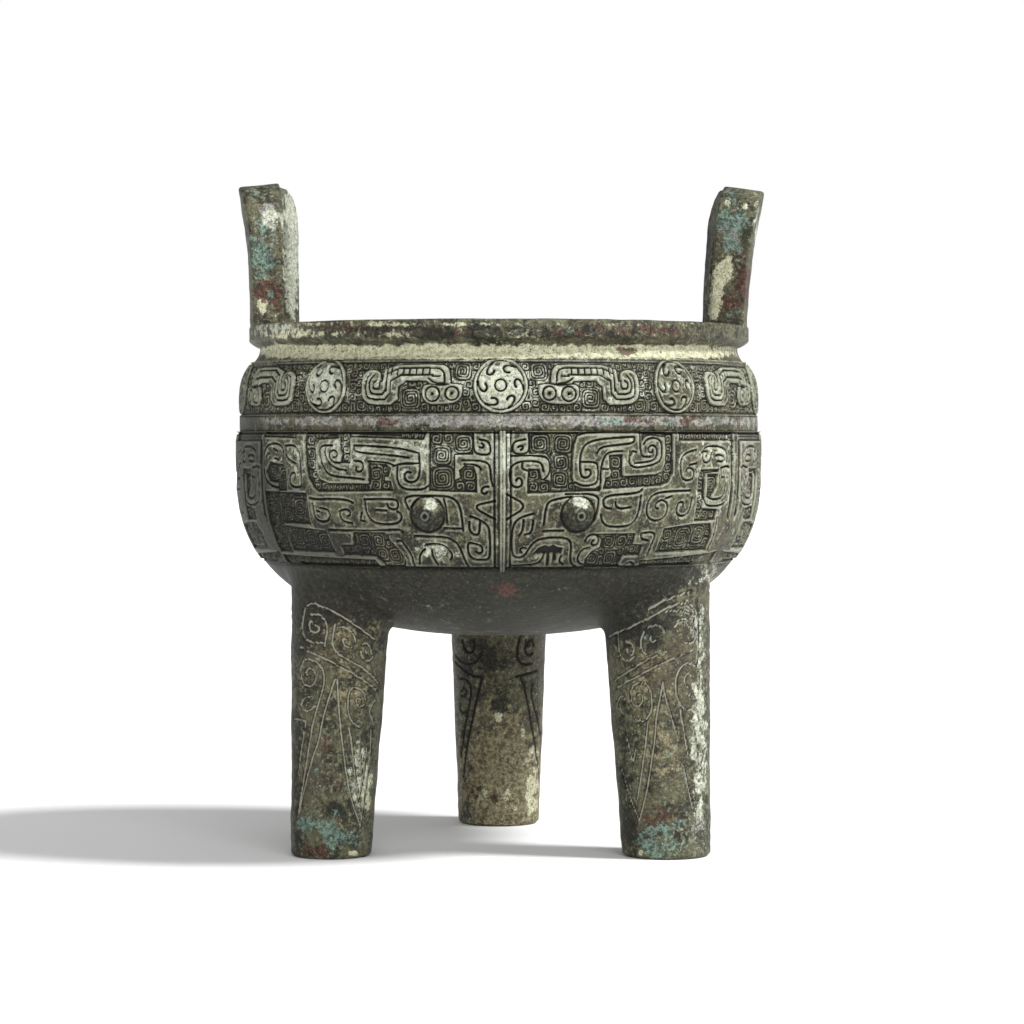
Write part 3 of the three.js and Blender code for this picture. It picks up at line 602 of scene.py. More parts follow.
def underside(out):
    """Height of the bowl's underside at a distance from the axis."""
    return WIDEST - BELLY_DEPTH * np.clip(1 - (out / BELLY_RADIUS) ** BELLY_POWER, 0, 1) ** (1 / BELLY_POWER)


def frieze_radius(z):
    share = np.clip((z - FRIEZE_FOOT) / FRIEZE, 0, 1.02)
    return FRIEZE_RADIUS - FRIEZE_LEAN * share ** FRIEZE_LEAN_POWER


def turned_point(face, u, z, lift):
    """Points on a turned face, lifted along its own normal."""
    small = 0.05
    slope = (face(z + small) - face(z - small)) / (2 * small)
    length = np.sqrt(1 + slope ** 2)
    radius = face(z) + lift / length
    angle = u * 2 * math.pi / U_PER_TURN
    return np.stack([radius * np.sin(angle), -radius * np.cos(angle), z - lift * slope / length], -1)


def add_mesh(name, points, faces, flat_from, uvs, values):
    """A piece of the vessel from points in millimetres, with its point values for the patina and for painted
    shade and highlights.
    """
    mesh = bpy.data.meshes.new(name)
    mesh.from_pydata((points * MM).tolist(), [], faces)
    flags = np.ones(len(faces), bool)
    flags[flat_from:] = False
    mesh.polygons.foreach_set("use_smooth", flags)
    layer = mesh.uv_layers.new(name="OFBake")
    corners = np.empty(len(mesh.loops), int)
    mesh.loops.foreach_get("vertex_index", corners)
    layer.data.foreach_set("uv", uvs[corners].astype(np.float32).ravel())
    for label, value in values.items():
        attribute = mesh.attributes.new(label, "FLOAT", "POINT")
        attribute.data.foreach_set("value", np.clip(value, 0, 1).astype(np.float32))
    mesh.update()
    piece = bpy.data.objects.new(name, mesh)
    bpy.context.scene.collection.objects.link(piece)
    return piece


def quads_of(index):
    """Four-sided faces over a grid of point numbers."""
    return np.stack([index[:-1, :-1], index[:-1, 1:], index[1:, 1:], index[1:, :-1]], -1).reshape(-1, 4)


def turned_over(quads):
    """The same faces, facing the other way."""
    return quads[:, [0, 3, 2, 1]]


def closed_grid(rows, columns):
    """Point numbers of a grid whose first column is met again by its last."""
    index = np.arange(rows * columns).reshape(rows, columns)
    return np.concatenate([index, index[:, :1]], 1)


def uv_grid(rows, columns, foot, top):
    """Places on the unwrapped surface for a grid of points."""
    across, up = np.meshgrid(np.linspace(0.01, 0.99, columns), np.linspace(foot, top, rows))
    return np.stack([across, up], -1).reshape(-1, 2)


def shell(name, outer, inner, hollow, worn):
    """A closed shell: a fine face, a coarse back and walls between them. Both grids are rows of columns."""
    rows, columns = outer.shape[:2]
    back_rows = inner.shape[0]
    count = rows * columns
    points = np.concatenate([outer.reshape(-1, 3), inner.reshape(-1, 3)])
    index = np.arange(count).reshape(rows, columns)
    back = count + np.arange(back_rows * columns).reshape(back_rows, columns)
    face = quads_of(index)
    behind = turned_over(quads_of(back))
    foot = np.stack([index[0, :-1], back[0, :-1], back[0, 1:], index[0, 1:]], -1)
    top = np.stack([index[-1, :-1], index[-1, 1:], back[-1, 1:], back[-1, :-1]], -1)
    faces = face.tolist() + behind.tolist() + foot.tolist() + top.tolist()
    faces.append(index[:, 0].tolist()[::-1] + back[:, 0].tolist())
    faces.append(index[:, -1].tolist() + back[:, -1].tolist()[::-1])
    uvs = np.concatenate([uv_grid(rows, columns, 0.07, 0.99), uv_grid(back_rows, columns, 0.01, 0.05)])
    values = {
        "hollow": np.concatenate([hollow.ravel(), np.ones(back_rows * columns)]),
        "worn": np.concatenate([worn.ravel(), np.zeros(back_rows * columns)]),
    }
    values.update(patches_at(points))
    return add_mesh(name, points, faces, len(face), uvs, values)


# Patches of corrosion by colour, among them dark patches of painted shade and light patches of painted
# highlight. Each is the column and row of its middle in the photograph, its half width and half height in
# pixels, and a strength: 1 covers the metal and 0.3 only speckles it.
FRONT_PATCHES = {
    "ochre": [
        (350, 690, 26, 34, 0.5), (355, 625, 40, 14, 0.5), (330, 640, 40, 24, 0.35), (277, 308, 8, 9, 0.4),
        (650, 690, 30, 50, 0.5), (660, 760, 26, 34, 0.4), (703, 290, 6, 30, 0.5), (350, 770, 20, 40, 0.3),
    ],
    "grey": [
        (500, 421, 280, 7, 0.8), (560, 352, 60, 7, 0.6), (420, 345, 40, 5, 0.5), (700, 340, 30, 14, 0.3),
        (500, 385, 260, 30, 0.25), (696, 830, 14, 34, 0.4), (745, 470, 16, 70, 0.4), (268, 250, 16, 34, 0.45),
        (733, 235, 16, 34, 0.5), (268, 212, 14, 14, 0.5), (380, 540, 120, 26, 0.2), (630, 540, 110, 26, 0.2),
    ],
    # Light patches: the small ones on the upper halves of the eye bosses and those down the faces of the legs
    # and handles that look to the right are painted highlights, the rest pale corrosion
    "pale_and_highlight": [
        (400, 453, 120, 24, 0.45), (600, 455, 120, 26, 0.28), (300, 480, 50, 50, 0.2),
        (720, 480, 34, 80, 0.3),
        (505, 385, 280, 26, 0.5), (500, 387, 24, 24, 0.6), (324, 388, 18, 22, 0.4), (575, 497, 9, 6, 0.5),
        (430, 497, 7, 5, 0.4), (440, 552, 26, 10, 0.35), (540, 540, 60, 25, 0.2), (385, 540, 90, 30, 0.18),
        (500, 470, 12, 90, 0.3), (275, 330, 24, 7, 0.7), (268, 200, 14, 12, 0.25), (270, 222, 14, 14, 0.6),
        (292, 250, 9, 75, 1.0), (757, 250, 5, 60, 0.6), (362, 780, 12, 45, 0.5), (340, 765, 18, 22, 0.3),
        (700, 740, 9, 110, 0.6), (690, 620, 20, 22, 0.45), (700, 575, 26, 14, 0.4), (640, 612, 30, 8, 0.4),
        # Painted highlights on the upper halves of the two eye bosses
        (432, 505, 8, 7, 0.9), (583, 505, 8, 7, 0.9),
    ],
    # Cream patches: those down the right side of the left leg are painted highlights, the rest cream
    # corrosion
    "cream_and_highlight": [
        (470, 352, 190, 8, 0.95), (320, 352, 50, 7, 0.65), (640, 352, 60, 7, 0.65), (263, 306, 6, 9, 1.0),
        (705, 352, 50, 8, 0.6), (280, 350, 20, 8, 0.5), (500, 387, 24, 24, 0.35), (450, 334, 200, 5, 0.2),
        (275, 316, 8, 4, 0.6), (725, 268, 13, 17, 0.7), (717, 292, 8, 22, 0.75), (713, 312, 6, 10, 0.8),
        (470, 333, 220, 7, 0.3), (364, 785, 10, 40, 0.5), (290, 334, 30, 5, 0.5),
        (352, 854, 6, 4, 0.8), (641, 854, 3, 4, 0.9), (727, 203, 5, 4, 0.7), (744, 207, 5, 4, 0.7),
        (400, 324, 160, 3, 0.45), (640, 325, 90, 3, 0.3),
    ],
    # Dark patches on the underside, on the bowl's far left, under the rim's lip, on the lower halves of the
    # eye bosses and down the sides of the legs and handles that look to the left are painted shade, the rest
    # soot
    "soot_and_shade": [
        (480, 332, 230, 8, 0.7), (430, 610, 220, 40, 0.75), (300, 575, 70, 30, 0.95),
        (262, 530, 34, 60, 0.85),
        (244, 460, 22, 80, 1.0), (560, 580, 150, 18, 0.8), (330, 545, 60, 30, 0.5), (600, 612, 90, 26, 0.75),
        (500, 570, 200, 6, 0.5), (270, 262, 12, 18, 0.45), (247, 250, 5, 70, 0.5), (268, 187, 22, 5, 0.4),
        (426, 520, 16, 13, 0.6), (577, 520, 16, 13, 0.6), (280, 500, 50, 50, 0.5), (500, 540, 180, 34, 0.38),
        (665, 560, 60, 20, 0.35), (300, 620, 20, 40, 0.3), (640, 640, 40, 20, 0.3), (650, 450, 60, 40, 0.2),
        (730, 195, 20, 12, 0.45), (705, 230, 7, 60, 0.8), (743, 285, 6, 24, 0.4), (335, 810, 16, 9, 0.7),
        (296, 790, 7, 90, 0.6), (300, 690, 14, 60, 0.4), (632, 837, 9, 26, 0.7), (625, 770, 8, 70, 0.5),
    ],
    "rust": [
        (388, 421, 14, 5, 0.8), (505, 590, 17, 9, 0.9), (625, 352, 16, 5, 0.7), (640, 420, 26, 5, 0.6),
        (690, 420, 22, 6, 0.7), (735, 400, 16, 22, 0.45), (745, 350, 12, 12, 0.5), (700, 462, 12, 5, 0.45),
        (745, 470, 12, 40, 0.35), (350, 328, 40, 7, 0.6), (450, 330, 50, 7, 0.55), (640, 331, 70, 6, 0.5),
        (560, 333, 40, 6, 0.45), (268, 291, 17, 12, 1.1), (277, 308, 9, 9, 0.8), (278, 232, 4, 4, 0.8),
        (743, 282, 9, 28, 0.95), (721, 190, 5, 4, 0.7), (728, 303, 10, 8, 0.8), (327, 743, 9, 12, 0.8),
        (328, 778, 15, 20, 0.45), (318, 851, 16, 7, 0.9), (660, 820, 24, 16, 0.6), (700, 835, 10, 24, 0.3),
    ],
    "teal": [
        (612, 421, 18, 5, 0.7), (668, 421, 12, 5, 0.6), (742, 385, 12, 12, 0.4), (598, 500, 8, 7, 0.4),
        (560, 330, 60, 6, 0.3), (720, 421, 14, 5, 0.5), (262, 252, 16, 30, 0.8), (255, 193, 6, 5, 0.8),
        (272, 296, 5, 4, 0.8), (732, 226, 17, 30, 0.85), (733, 315, 9, 6, 0.7), (343, 840, 28, 16, 0.6),
        (315, 827, 18, 9, 0.6), (302, 822, 10, 8, 0.5), (665, 848, 32, 16, 0.55), (671, 828, 19, 9, 0.6),
        (645, 838, 10, 14, 0.5), (650, 700, 40, 90, 0.1), (330, 780, 26, 60, 0.14),
    ],
}
BACK_LEG_PATCHES = {
    "ochre": [(505, 745, 60, 60, 0.5), (505, 800, 60, 50, 0.7)],
    # The cream patch down the back leg's right side is a painted highlight
    "cream_and_highlight": [(499, 715, 4, 8, 0.9), (523, 730, 3, 14, 0.5), (533, 775, 8, 50, 0.5), (500, 800, 34, 26, 0.3)],
    # The dark patches on the back leg's top, under the bowl, and down its left side are painted shade, the
    # rest soot
    "soot_and_shade": [(500, 705, 12, 10, 0.9), (485, 660, 30, 26, 0.5), (500, 725, 11, 3, 0.6), (472, 770, 6, 6, 0.5),
             (475, 791, 6, 9, 0.5), (463, 740, 7, 90, 0.3)],
    "rust": [(495, 800, 6, 6, 0.8), (480, 815, 16, 6, 0.3)],
    "teal": [(469, 815, 7, 7, 0.6)],
}
BACK_LEG_FRONT = 20.0
BACK_LEG_HEAD = 95.0


def patches_at(points):
    """The strength of each colour at points, from the patches that lie on them."""
    found = {label: np.zeros(len(points)) for label in FRONT_PATCHES}
    x, y, z = points.T
    back_leg = (y > BACK_LEG_FRONT) & (z < BACK_LEG_HEAD)
    # The bowl's hidden half is coloured in keeping with the half that shows
    y = np.where((y > 0) & (z > BACK_LEG_HEAD) & (z < RIM_TOP), -y, y)
    scale = (CAMERA_DISTANCE + y) / FOCAL_PIXELS
    column = AXIS_COLUMN + x / scale
    row = HORIZON_ROW + (CAMERA_HEIGHT - z) / scale
    for patches, here in ((FRONT_PATCHES, ~back_leg), (BACK_LEG_PATCHES, back_leg)):
        for label, spots in patches.items():
            for at_column, at_row, half_width, half_height, strength in spots:
                across, down = (column[here] - at_column) / half_width, (row[here] - at_row) / half_height
                found[label][here] += strength * np.exp(-(across ** 2 + down ** 2) ** 1.5)
    return found


def blurred(field, reach):
    """Mean of a field over a square window, reach cells to each side."""
    for axis in (0, 1):
        width = [(0, 0), (0, 0)]
        width[axis] = (reach + 1, reach)
        total = np.cumsum(np.pad(field, width, mode="edge"), axis)
        count = field.shape[axis]
        ahead = np.take(total, np.arange(count) + 2 * reach + 1, axis)
        field = (ahead - np.take(total, np.arange(count), axis)) / (2 * reach + 1)
    return field


def band_shell(name, sheet, height, face):
    """A sheet of relief laid on the bowl."""
    grain = value_noise(sheet.u, sheet.v, 1.1, 5) * 0.04 + value_noise(sheet.u, sheet.v, 3.7, 6) * 0.06
    outer = turned_point(face, sheet.u, sheet.v, height + grain)
    rows = np.linspace(0, sheet.rows - 1, 5).round().astype(int)
    depth = np.full((len(rows), sheet.columns), -SHELL_DEPTH)
    inner = turned_point(face, sheet.u[rows], sheet.v[rows], depth)
    inner[0, :, 2] = sheet.foot
    inner[-1, :, 2] = outer[-1, :, 2]
    outer[0, :, 2] = sheet.foot
    # Edges that stand out of their surroundings are worn light, and what lies below them is painted dark, for
    # the soil it holds and as painted shade in the hollows
    proud = height - blurred(height, int(round(1.1 / sheet.step_u)))
    hollow = np.clip(-proud * 1.7 + np.clip(-0.1 - height, 0, 1) * 1.3, 0, 1)
    worn = np.clip(proud * 2.6 - 0.1, 0, 1) * step_up(height, -0.25, 0.0)
    return shell(name, outer, inner, hollow, worn)


def masks():
    """Three masks in halves. The first is the one in front, and its left half has lines of its own."""
    made = []
    for number in range(3):
        fineness = OTHER_FINENESS if number else FRONT_FINENESS
        for side, word in ((1, "right"), (-1, "left")):
            sheet, height = mask_heights(side, fineness, number == 0)
            sheet.u = sheet.u + number * U_PER_TURN / 3
            made.append(band_shell(f"mask_{number + 1}_{word}", sheet, height, belly_radius))
    return made


def friezes():
    """Three lengths of frieze, one over each mask."""
    made = []
    seam = NOSE_U + MASK_HALF
    for number in range(3):
        fineness = OTHER_FINENESS if number else FRONT_FINENESS
        first = seam + (number - 1) * 2 * MASK_HALF
        sheet, height = frieze_heights(first, first + 2 * MASK_HALF, fineness)
        made.append(band_shell(f"frieze_{number + 1}", sheet, height, frieze_radius))
    return made


# The bowl's body: a closed turned form, let in under the ornament. Its inside widens below the mouth, at
# these heights and radii.
BODY_SIDES = 320
INSIDE_NECK = [(184.0, 88.0), (178.0, 92.4), (170.0, 94.2), (164.5, PLAIN_RADIUS - WALL)]


def body_profile():
    """Radius, height and how much its surface may be uneven, from the underside round to the inside."""
    points = []
    for z in np.linspace(0, 1, 26):
        height = LEG_HEIGHT + (MASK_FOOT - LEG_HEIGHT) * z ** 1.8
        points.append((float(belly_radius(height)), height, 1.0))
    points[0] = (0.0, LEG_HEIGHT, 0.0)
    for z in np.linspace(MASK_FOOT, MASK_TOP, 9):
        points.append((float(belly_radius(z)) - UNDER_SHELL, float(z), 0.0))
    points.append((PLAIN_RADIUS - 0.1, MASK_TOP, 0.2))
    for z in np.linspace(MASK_TOP + 0.5, FRIEZE_FOOT - 0.5, 6):
        points.append((PLAIN_RADIUS, float(z), 0.7))
    points.append((PLAIN_RADIUS - 0.2, FRIEZE_FOOT, 0.2))
    for z in np.linspace(FRIEZE_FOOT, FRIEZE_TOP, 7):
        points.append((float(frieze_radius(z)) - UNDER_SHELL, float(z), 0.0))
    neck_top = float(frieze_radius(np.array(FRIEZE_TOP)))
    for share in np.linspace(0, 1, 6):
        bend = (1 - share) ** 2.2
        points.append((NECK_RADIUS + (neck_top - NECK_RADIUS) * bend, FRIEZE_TOP + NECK * share, 0.6))
    for share in (0.3, 0.6, 0.85):
        points.append((NECK_RADIUS + RIM_OVERHANG * share, RIM_FOOT + RIM_BEVEL * share ** 1.5, 0.8))
    for z in np.linspace(RIM_FACE_FOOT + 0.2, RIM_TOP - 0.9, 5):
        points.append((RIM_RADIUS, float(z), 1.0))
    points.append((RIM_RADIUS - 0.25, RIM_TOP - 0.28, 1.0))
    for share in np.linspace(0, 1, 6):
        radius = RIM_RADIUS - 0.9 - share * (RIM_RADIUS - MOUTH_RADIUS - 1.7)
        points.append((radius, RIM_TOP, 1.0))
    points.append((MOUTH_RADIUS + 0.15, RIM_TOP - 0.35, 1.0))
    points.append((MOUTH_RADIUS, RIM_TOP - 1.2, 1.0))
    points.append((MOUTH_RADIUS, RIM_FOOT - 1, 1.0))
    for z, radius in INSIDE_NECK:
        points.append((radius, z, 1.0))
    inner_radius, inner_depth = BELLY_RADIUS - WALL, BELLY_DEPTH - WALL
    for share in np.linspace(0, 1, 22):
        height = WIDEST + 6 - (inner_depth + 6) * (1 - (1 - share) ** 1.7)
        points.append((float(belly_radius(height, inner_radius, inner_depth)), height, 1.0))
    points[-1] = (0.0, WIDEST - inner_depth, 0.0)
    return points


def body_rows(profile, lengths):
    """Points of the turned form, and their numbers row by row. A row on the axis is a single point."""
    angle = np.arange(BODY_SIDES) / BODY_SIDES * 2 * math.pi
    u = angle / (2 * math.pi) * U_PER_TURN
    points, rows = [], []
    for (radius, z, rough), length in zip(profile, lengths):
        if radius == 0:
            rows.append([len(points)])
            points.append((0, 0, z))
            continue
        run = np.full_like(u, length)
        uneven = value_noise(u, run, 9.0, 11) * 0.22 + value_noise(u, run, 3.4, 12) * 0.1
        out = radius * (1 + uneven * rough / radius)
        lift = value_noise(u, run, 6.0, 13) * 0.12 * rough
        rows.append(list(range(len(points), len(points) + BODY_SIDES)))
        points += np.stack([out * np.sin(angle), -out * np.cos(angle), z + lift], -1).tolist()
    return np.array(points), rows


def body_faces(rows):
    faces = []
    for low, high in zip(rows, rows[1:]):
        for i in range(BODY_SIDES):
            j = (i + 1) % BODY_SIDES
            if len(low) == 1:
                faces.append((low[0], high[j], high[i]))
            elif len(high) == 1:
                faces.append((low[i], low[j], high[0]))
            else:
                faces.append((low[i], low[j], high[j], high[i]))
    return faces


def bowl():
    profile = body_profile()
    steps = [math.hypot(r1 - r0, z1 - z0) for (r0, z0, _), (r1, z1, _) in zip(profile, profile[1:])]
    lengths = np.concatenate([[0.0], np.cumsum(steps)])
    points, rows = body_rows(profile, lengths)
    uvs = np.zeros((len(points), 2))
    for row, length in zip(rows, lengths):
        uvs[row, 0] = np.linspace(0.005, 0.995, len(row))
        uvs[row, 1] = 0.01 + 0.98 * length / lengths[-1]
    values = patches_at(points)
    # Inside, the patches fade below the mouth, and the metal is darker towards the floor
    mouth = [radius for radius, _, _ in profile].index(MOUTH_RADIUS)
    within = slice(rows[mouth][0], None)
    rise = np.clip((points[within, 2] - LEG_HEIGHT) / (RIM_TOP - LEG_HEIGHT), 0, 1)
    for value in values.values():
        value[within] *= 0.5 * step_up(rise, 0.55, 0.95)
    values["soot_and_shade"][within] += 0.45 * (1 - rise)
    faces = body_faces(rows)
    return add_mesh("bowl_body", points, faces, len(faces), uvs, values)


# Legs, by the names of their feet: angle round the vessel and radius of the sole
LEGS = {"left": (-60.0, 15.0), "right": (60.0, 16.5), "back": (180.0, 16.2)}
LEG_CENTRE = BELLY_RADIUS - 27.4
LEG_LEAN = 3.7
LEG_TAPER = 3.1
LEG_ARC = {name: shape[1] + LEG_TAPER * 0.5 for name, shape in LEGS.items()}
LEG_SIDES = 176
LEG_ROWS = 150
LEG_CROWDING = 0.4
LEG_HEAD = 96.0
LEG_CUT = 0.7
SOLE_EDGE = 1.3
FILLET = 5.0
FILLET_ROWS = 8
FILLET_PROUD = 0.25


def leg_surface(angle, sole, turn, z, lift):
    """Points of a leg's face at a turn from its outermost line."""
    radius = sole + LEG_TAPER * z / LEG_HEIGHT + lift
    x = radius * np.sin(turn)
    y = -radius * np.cos(turn) + LEG_LEAN * z / LEG_HEIGHT - LEG_CENTRE
    c, s = math.cos(math.radians(angle)), math.sin(math.radians(angle))
    return np.stack([x * c - y * s, x * s + y * c, z], -1)


def leg_tops(angle, sole, turn):
    """Height at which each line up the leg meets the bowl."""
    heights = np.linspace(LEG_HEIGHT * 0.9, WIDEST, 300)
    turns, tries = np.meshgrid(turn, heights)
    points = leg_surface(angle, sole, turns, tries, 0.0)
    out = np.hypot(points[..., 0], points[..., 1])
    inside = (tries >= underside(out)) & (out < BELLY_RADIUS)
    return heights[np.argmax(inside, 0)]


# Lines cut in the legs, as routes of columns and rows in the photograph
LEG_ROUTES = {
    "left": [
        [(306, 606), (312, 603), (325, 608), (340, 615), (355, 625), (368, 634), (375, 640)],
        [(304, 608), (302, 618), (301, 628), (303, 637), (307, 641), (315, 643), (322, 643)],
        [(309, 615), (316, 614), (322, 617), (326, 623), (327, 632), (325, 640), (324, 647)],
        [(312, 624), (309, 620), (308, 627), (311, 632), (316, 633), (319, 630), (318, 626), (314, 625)],
        [(335, 624), (333, 634), (332, 641), (333, 648), (337, 653), (343, 658), (352, 662), (361, 667),
         (370, 674), (379, 684)],
        [(337, 628), (343, 627), (349, 630), (354, 635), (356, 642)],
        [(347, 640), (343, 638), (343, 643), (346, 647), (352, 648)],
        [(362, 645), (367, 643), (371, 648), (372, 655)],
        [(361, 651), (362, 657), (366, 661), (371, 661), (374, 656)],
        [(366, 650), (367, 654)],
        [(299, 647), (305, 650), (315, 654), (325, 659), (340, 667), (355, 675), (366, 682), (377, 691)],
        [(300, 668), (303, 660), (308, 659), (317, 663), (322, 669), (324, 677), (323, 687), (319, 700),
         (313, 720), (309, 740), (305, 765), (301, 790), (296, 824)],
        [(308, 677), (305, 673), (307, 669), (311, 668), (315, 674), (315, 680), (312, 686), (307, 687),
         (302, 684), (300, 676), (300, 668)],
        [(311, 697), (305, 697), (301, 701), (300, 707), (303, 711), (309, 711), (315, 706)],
        [(293, 719), (305, 720), (304, 728)],
        [(303, 732), (300, 752), (297, 775)],
        [(335, 679), (328, 700), (322, 720), (318, 742), (312, 757), (305, 782), (298, 814)],
        [(337, 679), (338, 700), (340, 725), (343, 750), (347, 780), (352, 803), (361, 828)],
        [(372, 730), (370, 760), (366, 790), (363, 812), (361, 828)],
        [(349, 728), (352, 745), (354, 770), (359, 800)],
        [(367, 748), (365, 768), (362, 785), (359, 800)],
        [(360, 748), (361, 762), (362, 774)],
        [(366, 700), (365, 693), (358, 688), (351, 688), (348, 698), (348, 713), (352, 723), (360, 728)],
        [(361, 703), (361, 699), (357, 698), (356, 703), (360, 708), (365, 705)],
        [(376, 700), (371, 708), (370, 714), (374, 722)],
    ],
    "right": [
        [(638, 610), (650, 610), (664, 601), (680, 595), (692, 591)],
        [(608, 637), (625, 630), (640, 623), (655, 615), (670, 607), (682, 603), (691, 604), (697, 611),
         (699, 622), (699, 645), (697, 664)],
        [(617, 634), (618, 648), (621, 659), (628, 662), (634, 657)],
        [(626, 642), (632, 644), (634, 650), (632, 656), (627, 654), (627, 648)],
        [(644, 632), (640, 642), (642, 651), (646, 655)],
        [(648, 628), (655, 625), (662, 627), (665, 634)],
        [(651, 636), (650, 641), (653, 643), (656, 640)],
        [(666, 612), (675, 611), (684, 612), (691, 615), (694, 622), (694, 629), (698, 635), (696, 641),
         (690, 644), (685, 643)],
        [(675, 628), (680, 622), (687, 622), (690, 628)],
        [(614, 681), (630, 671), (645, 661), (658, 655)],
        [(617, 688), (635, 678), (650, 670), (660, 664), (680, 657), (694, 650)],
        [(700, 684), (699, 672), (695, 665), (688, 663), (681, 668), (677, 676), (676, 690), (678, 700),
         (683, 708), (689, 711), (695, 709), (698, 703), (695, 697), (688, 695)],
        [(692, 678), (691, 674), (687, 675), (685, 680), (686, 686), (690, 688)],
        [(646, 720), (652, 712), (652, 696), (648, 685), (640, 683), (633, 685), (630, 693), (631, 702),
         (635, 707), (640, 706), (643, 700), (641, 694), (637, 695)],
        [(633, 716), (637, 721), (644, 722)],
        [(663, 682), (661, 695), (658, 710), (656, 722), (655, 740), (652, 760), (649, 780), (645, 800),
         (639, 822)],
        [(663, 682), (666, 700), (672, 718), (677, 735)],
        [(681, 710), (685, 735), (689, 755)],
        [(684, 766), (688, 785), (694, 810)],
        [(694, 728), (698, 750), (700, 772), (705, 750)],
        [(621, 768), (630, 798), (639, 822)],
        [(627, 740), (633, 766), (635, 750)],
        [(648, 722), (645, 750), (641, 778), (637, 800)],
        [(617, 702), (620, 696), (624, 697), (625, 703)],
        [(619, 704), (620, 712), (624, 715)],
        [(706, 676), (705, 690), (707, 700)],
    ],
    "back": [
        [(455, 655), (460, 661), (470, 665), (478, 661), (482, 652)],
        [(462, 640), (464, 648), (469, 654), (474, 651), (474, 640)],
        [(455, 662), (463, 669), (472, 676), (481, 677)],
        [(482, 678), (478, 695), (472, 720), (467, 745), (463, 778)],
        [(460, 679), (466, 679), (471, 686), (471, 696), (466, 720), (461, 758)],
        [(461, 692), (464, 687), (467, 692), (465, 697), (461, 696)],
        [(460, 704), (460, 711), (463, 714), (468, 711)],
        [(520, 638), (517, 650), (518, 660), (523, 665), (531, 664)],
        [(526, 640), (525, 652), (529, 656), (533, 653)],
        [(528, 646), (528, 641), (533, 640), (534, 646)],
        [(516, 677), (526, 674), (537, 671)],
        [(521, 678), (525, 690), (530, 715), (534, 740), (539, 778)],
        [(533, 684), (531, 692), (534, 706), (538, 722), (541, 755)],
    ],
}
LEG_REACH = 66.0


def on_leg(name, column, row):
    """Arc from the leg's outermost line, and height, of the point that a pixel shows."""
    angle, sole = LEGS[name]
    away = math.radians(angle)
    depth = 0.0
    for _ in range(8):
        scale = (CAMERA_DISTANCE + depth) / FOCAL_PIXELS
        x = (column - AXIS_COLUMN) * scale
        z = CAMERA_HEIGHT - (row - HORIZON_ROW) * scale
        middle = LEG_CENTRE - LEG_LEAN * z / LEG_HEIGHT
        radius = sole + LEG_TAPER * z / LEG_HEIGHT
        across = x - middle * math.sin(away)
        depth = -middle * math.cos(away) - math.sqrt(max(radius ** 2 - across ** 2, 4.0))
    turn = math.atan2(across, middle * math.cos(away) * -1 - depth) - away
    turn = (turn + math.pi) % (2 * math.pi) - math.pi
    return turn * LEG_ARC[name], z


def leg_turns(name):
    """Angles round a leg from its outermost line, closer together on the side that the photograph shows."""
    even = np.linspace(-math.pi, math.pi, LEG_SIDES + 1)
    if name == "back":
        return even
    return even - LEG_CROWDING * np.sin(even) - math.radians(LEGS[name][0])


def leg_routes(name):
    """The lines that the photograph shows, and the same mirrored on the leg's hidden side."""
    routes = [[on_leg(name, column, row) for column, row in route] for route in LEG_ROUTES[name]]
    if name == "back":
        return routes
    side = 1 if name == "left" else -1
    hidden = []
    for route in routes:
        if min(side * x for x, _ in route) > 6:
            hidden.append([(-x, z) for x, z in route])
    return routes + hidden


def back_leg_routes():
    """Hanging blades and scrolls on the far side of the back leg, plainer than those in front."""
    routes = [[(-26, 84), (26, 84)], [(-26, 71), (26, 71)]]
    for middle in (-14.5, 14.5):
        routes.append([(middle - 10, 66), (middle, 14), (middle + 10, 66)])
        routes.append([(middle - 5.5, 52), (middle, 24), (middle + 5.5, 52)])
        for hand in (-1, 1):
            routes.append(spiral_route(middle + hand * 4.6, 60, 3.4, math.pi * (0.5 + hand * 0.6), 1.3, hand))
        routes.append(spiral_route(middle, 77.5, 4.6, 1.0, 1.6, 1))
    return routes


def spiral_route(x, y, radius, start, turns, hand):
    """A spiral that winds in from a radius, anticlockwise where the hand is 1."""
    route = []
    steps = int(turns * 10)
    for k in range(steps + 1):
        turn = start + hand * k / 10 * 2 * math.pi
        size = radius * (1 - k / steps * 0.85)
        route.append((x + size * math.cos(turn), y + size * math.sin(turn)))
    return route


def carved_share(name, arc, z):
    """How deep the cut lines are at places on a leg, from 0 to 1."""
    sheet = Sheet(-LEG_REACH, LEG_REACH, 0, 116, 0.35)
    routes = leg_routes(name) + (back_leg_routes() if name == "back" else [])
    cut = np.zeros(sheet.shape)
    for route in routes:
        cut = np.maximum(cut, 1 - step_up(sheet.gap_to(rounded(route, 1), CUT_REACH), 0.1, 0.75))
    column = np.clip((arc + LEG_REACH) / sheet.step_u, 0, sheet.columns - 1.001)
    row = np.clip(z / sheet.step_v, 0, sheet.rows - 1.001)
    i, j = column.astype(int), row.astype(int)
    s, t = column - i, row - j
    low = cut[j, i] * (1 - s) + cut[j, i + 1] * s
    high = cut[j + 1, i] * (1 - s) + cut[j + 1, i + 1] * s
    return low * (1 - t) + high * t


def fillet(angle, sole, turn, top):
    """Rows of points that leave a leg along its side and run out on the bowl's underside."""
    foot = leg_surface(angle, sole, turn, top, 0.0)
    corner = leg_surface(angle, sole, turn, top + FILLET, 0.0)
    ahead = leg_surface(angle, sole, turn, top + FILLET, FILLET)
    ahead[:, 2] = underside(np.hypot(ahead[:, 0], ahead[:, 1])) + FILLET_PROUD
    rows = []
    for share in np.linspace(0, 1, FILLET_ROWS + 1)[1:]:
        rows.append(foot * (1 - share) ** 2 + corner * 2 * share * (1 - share) + ahead * share ** 2)
    return np.array(rows)


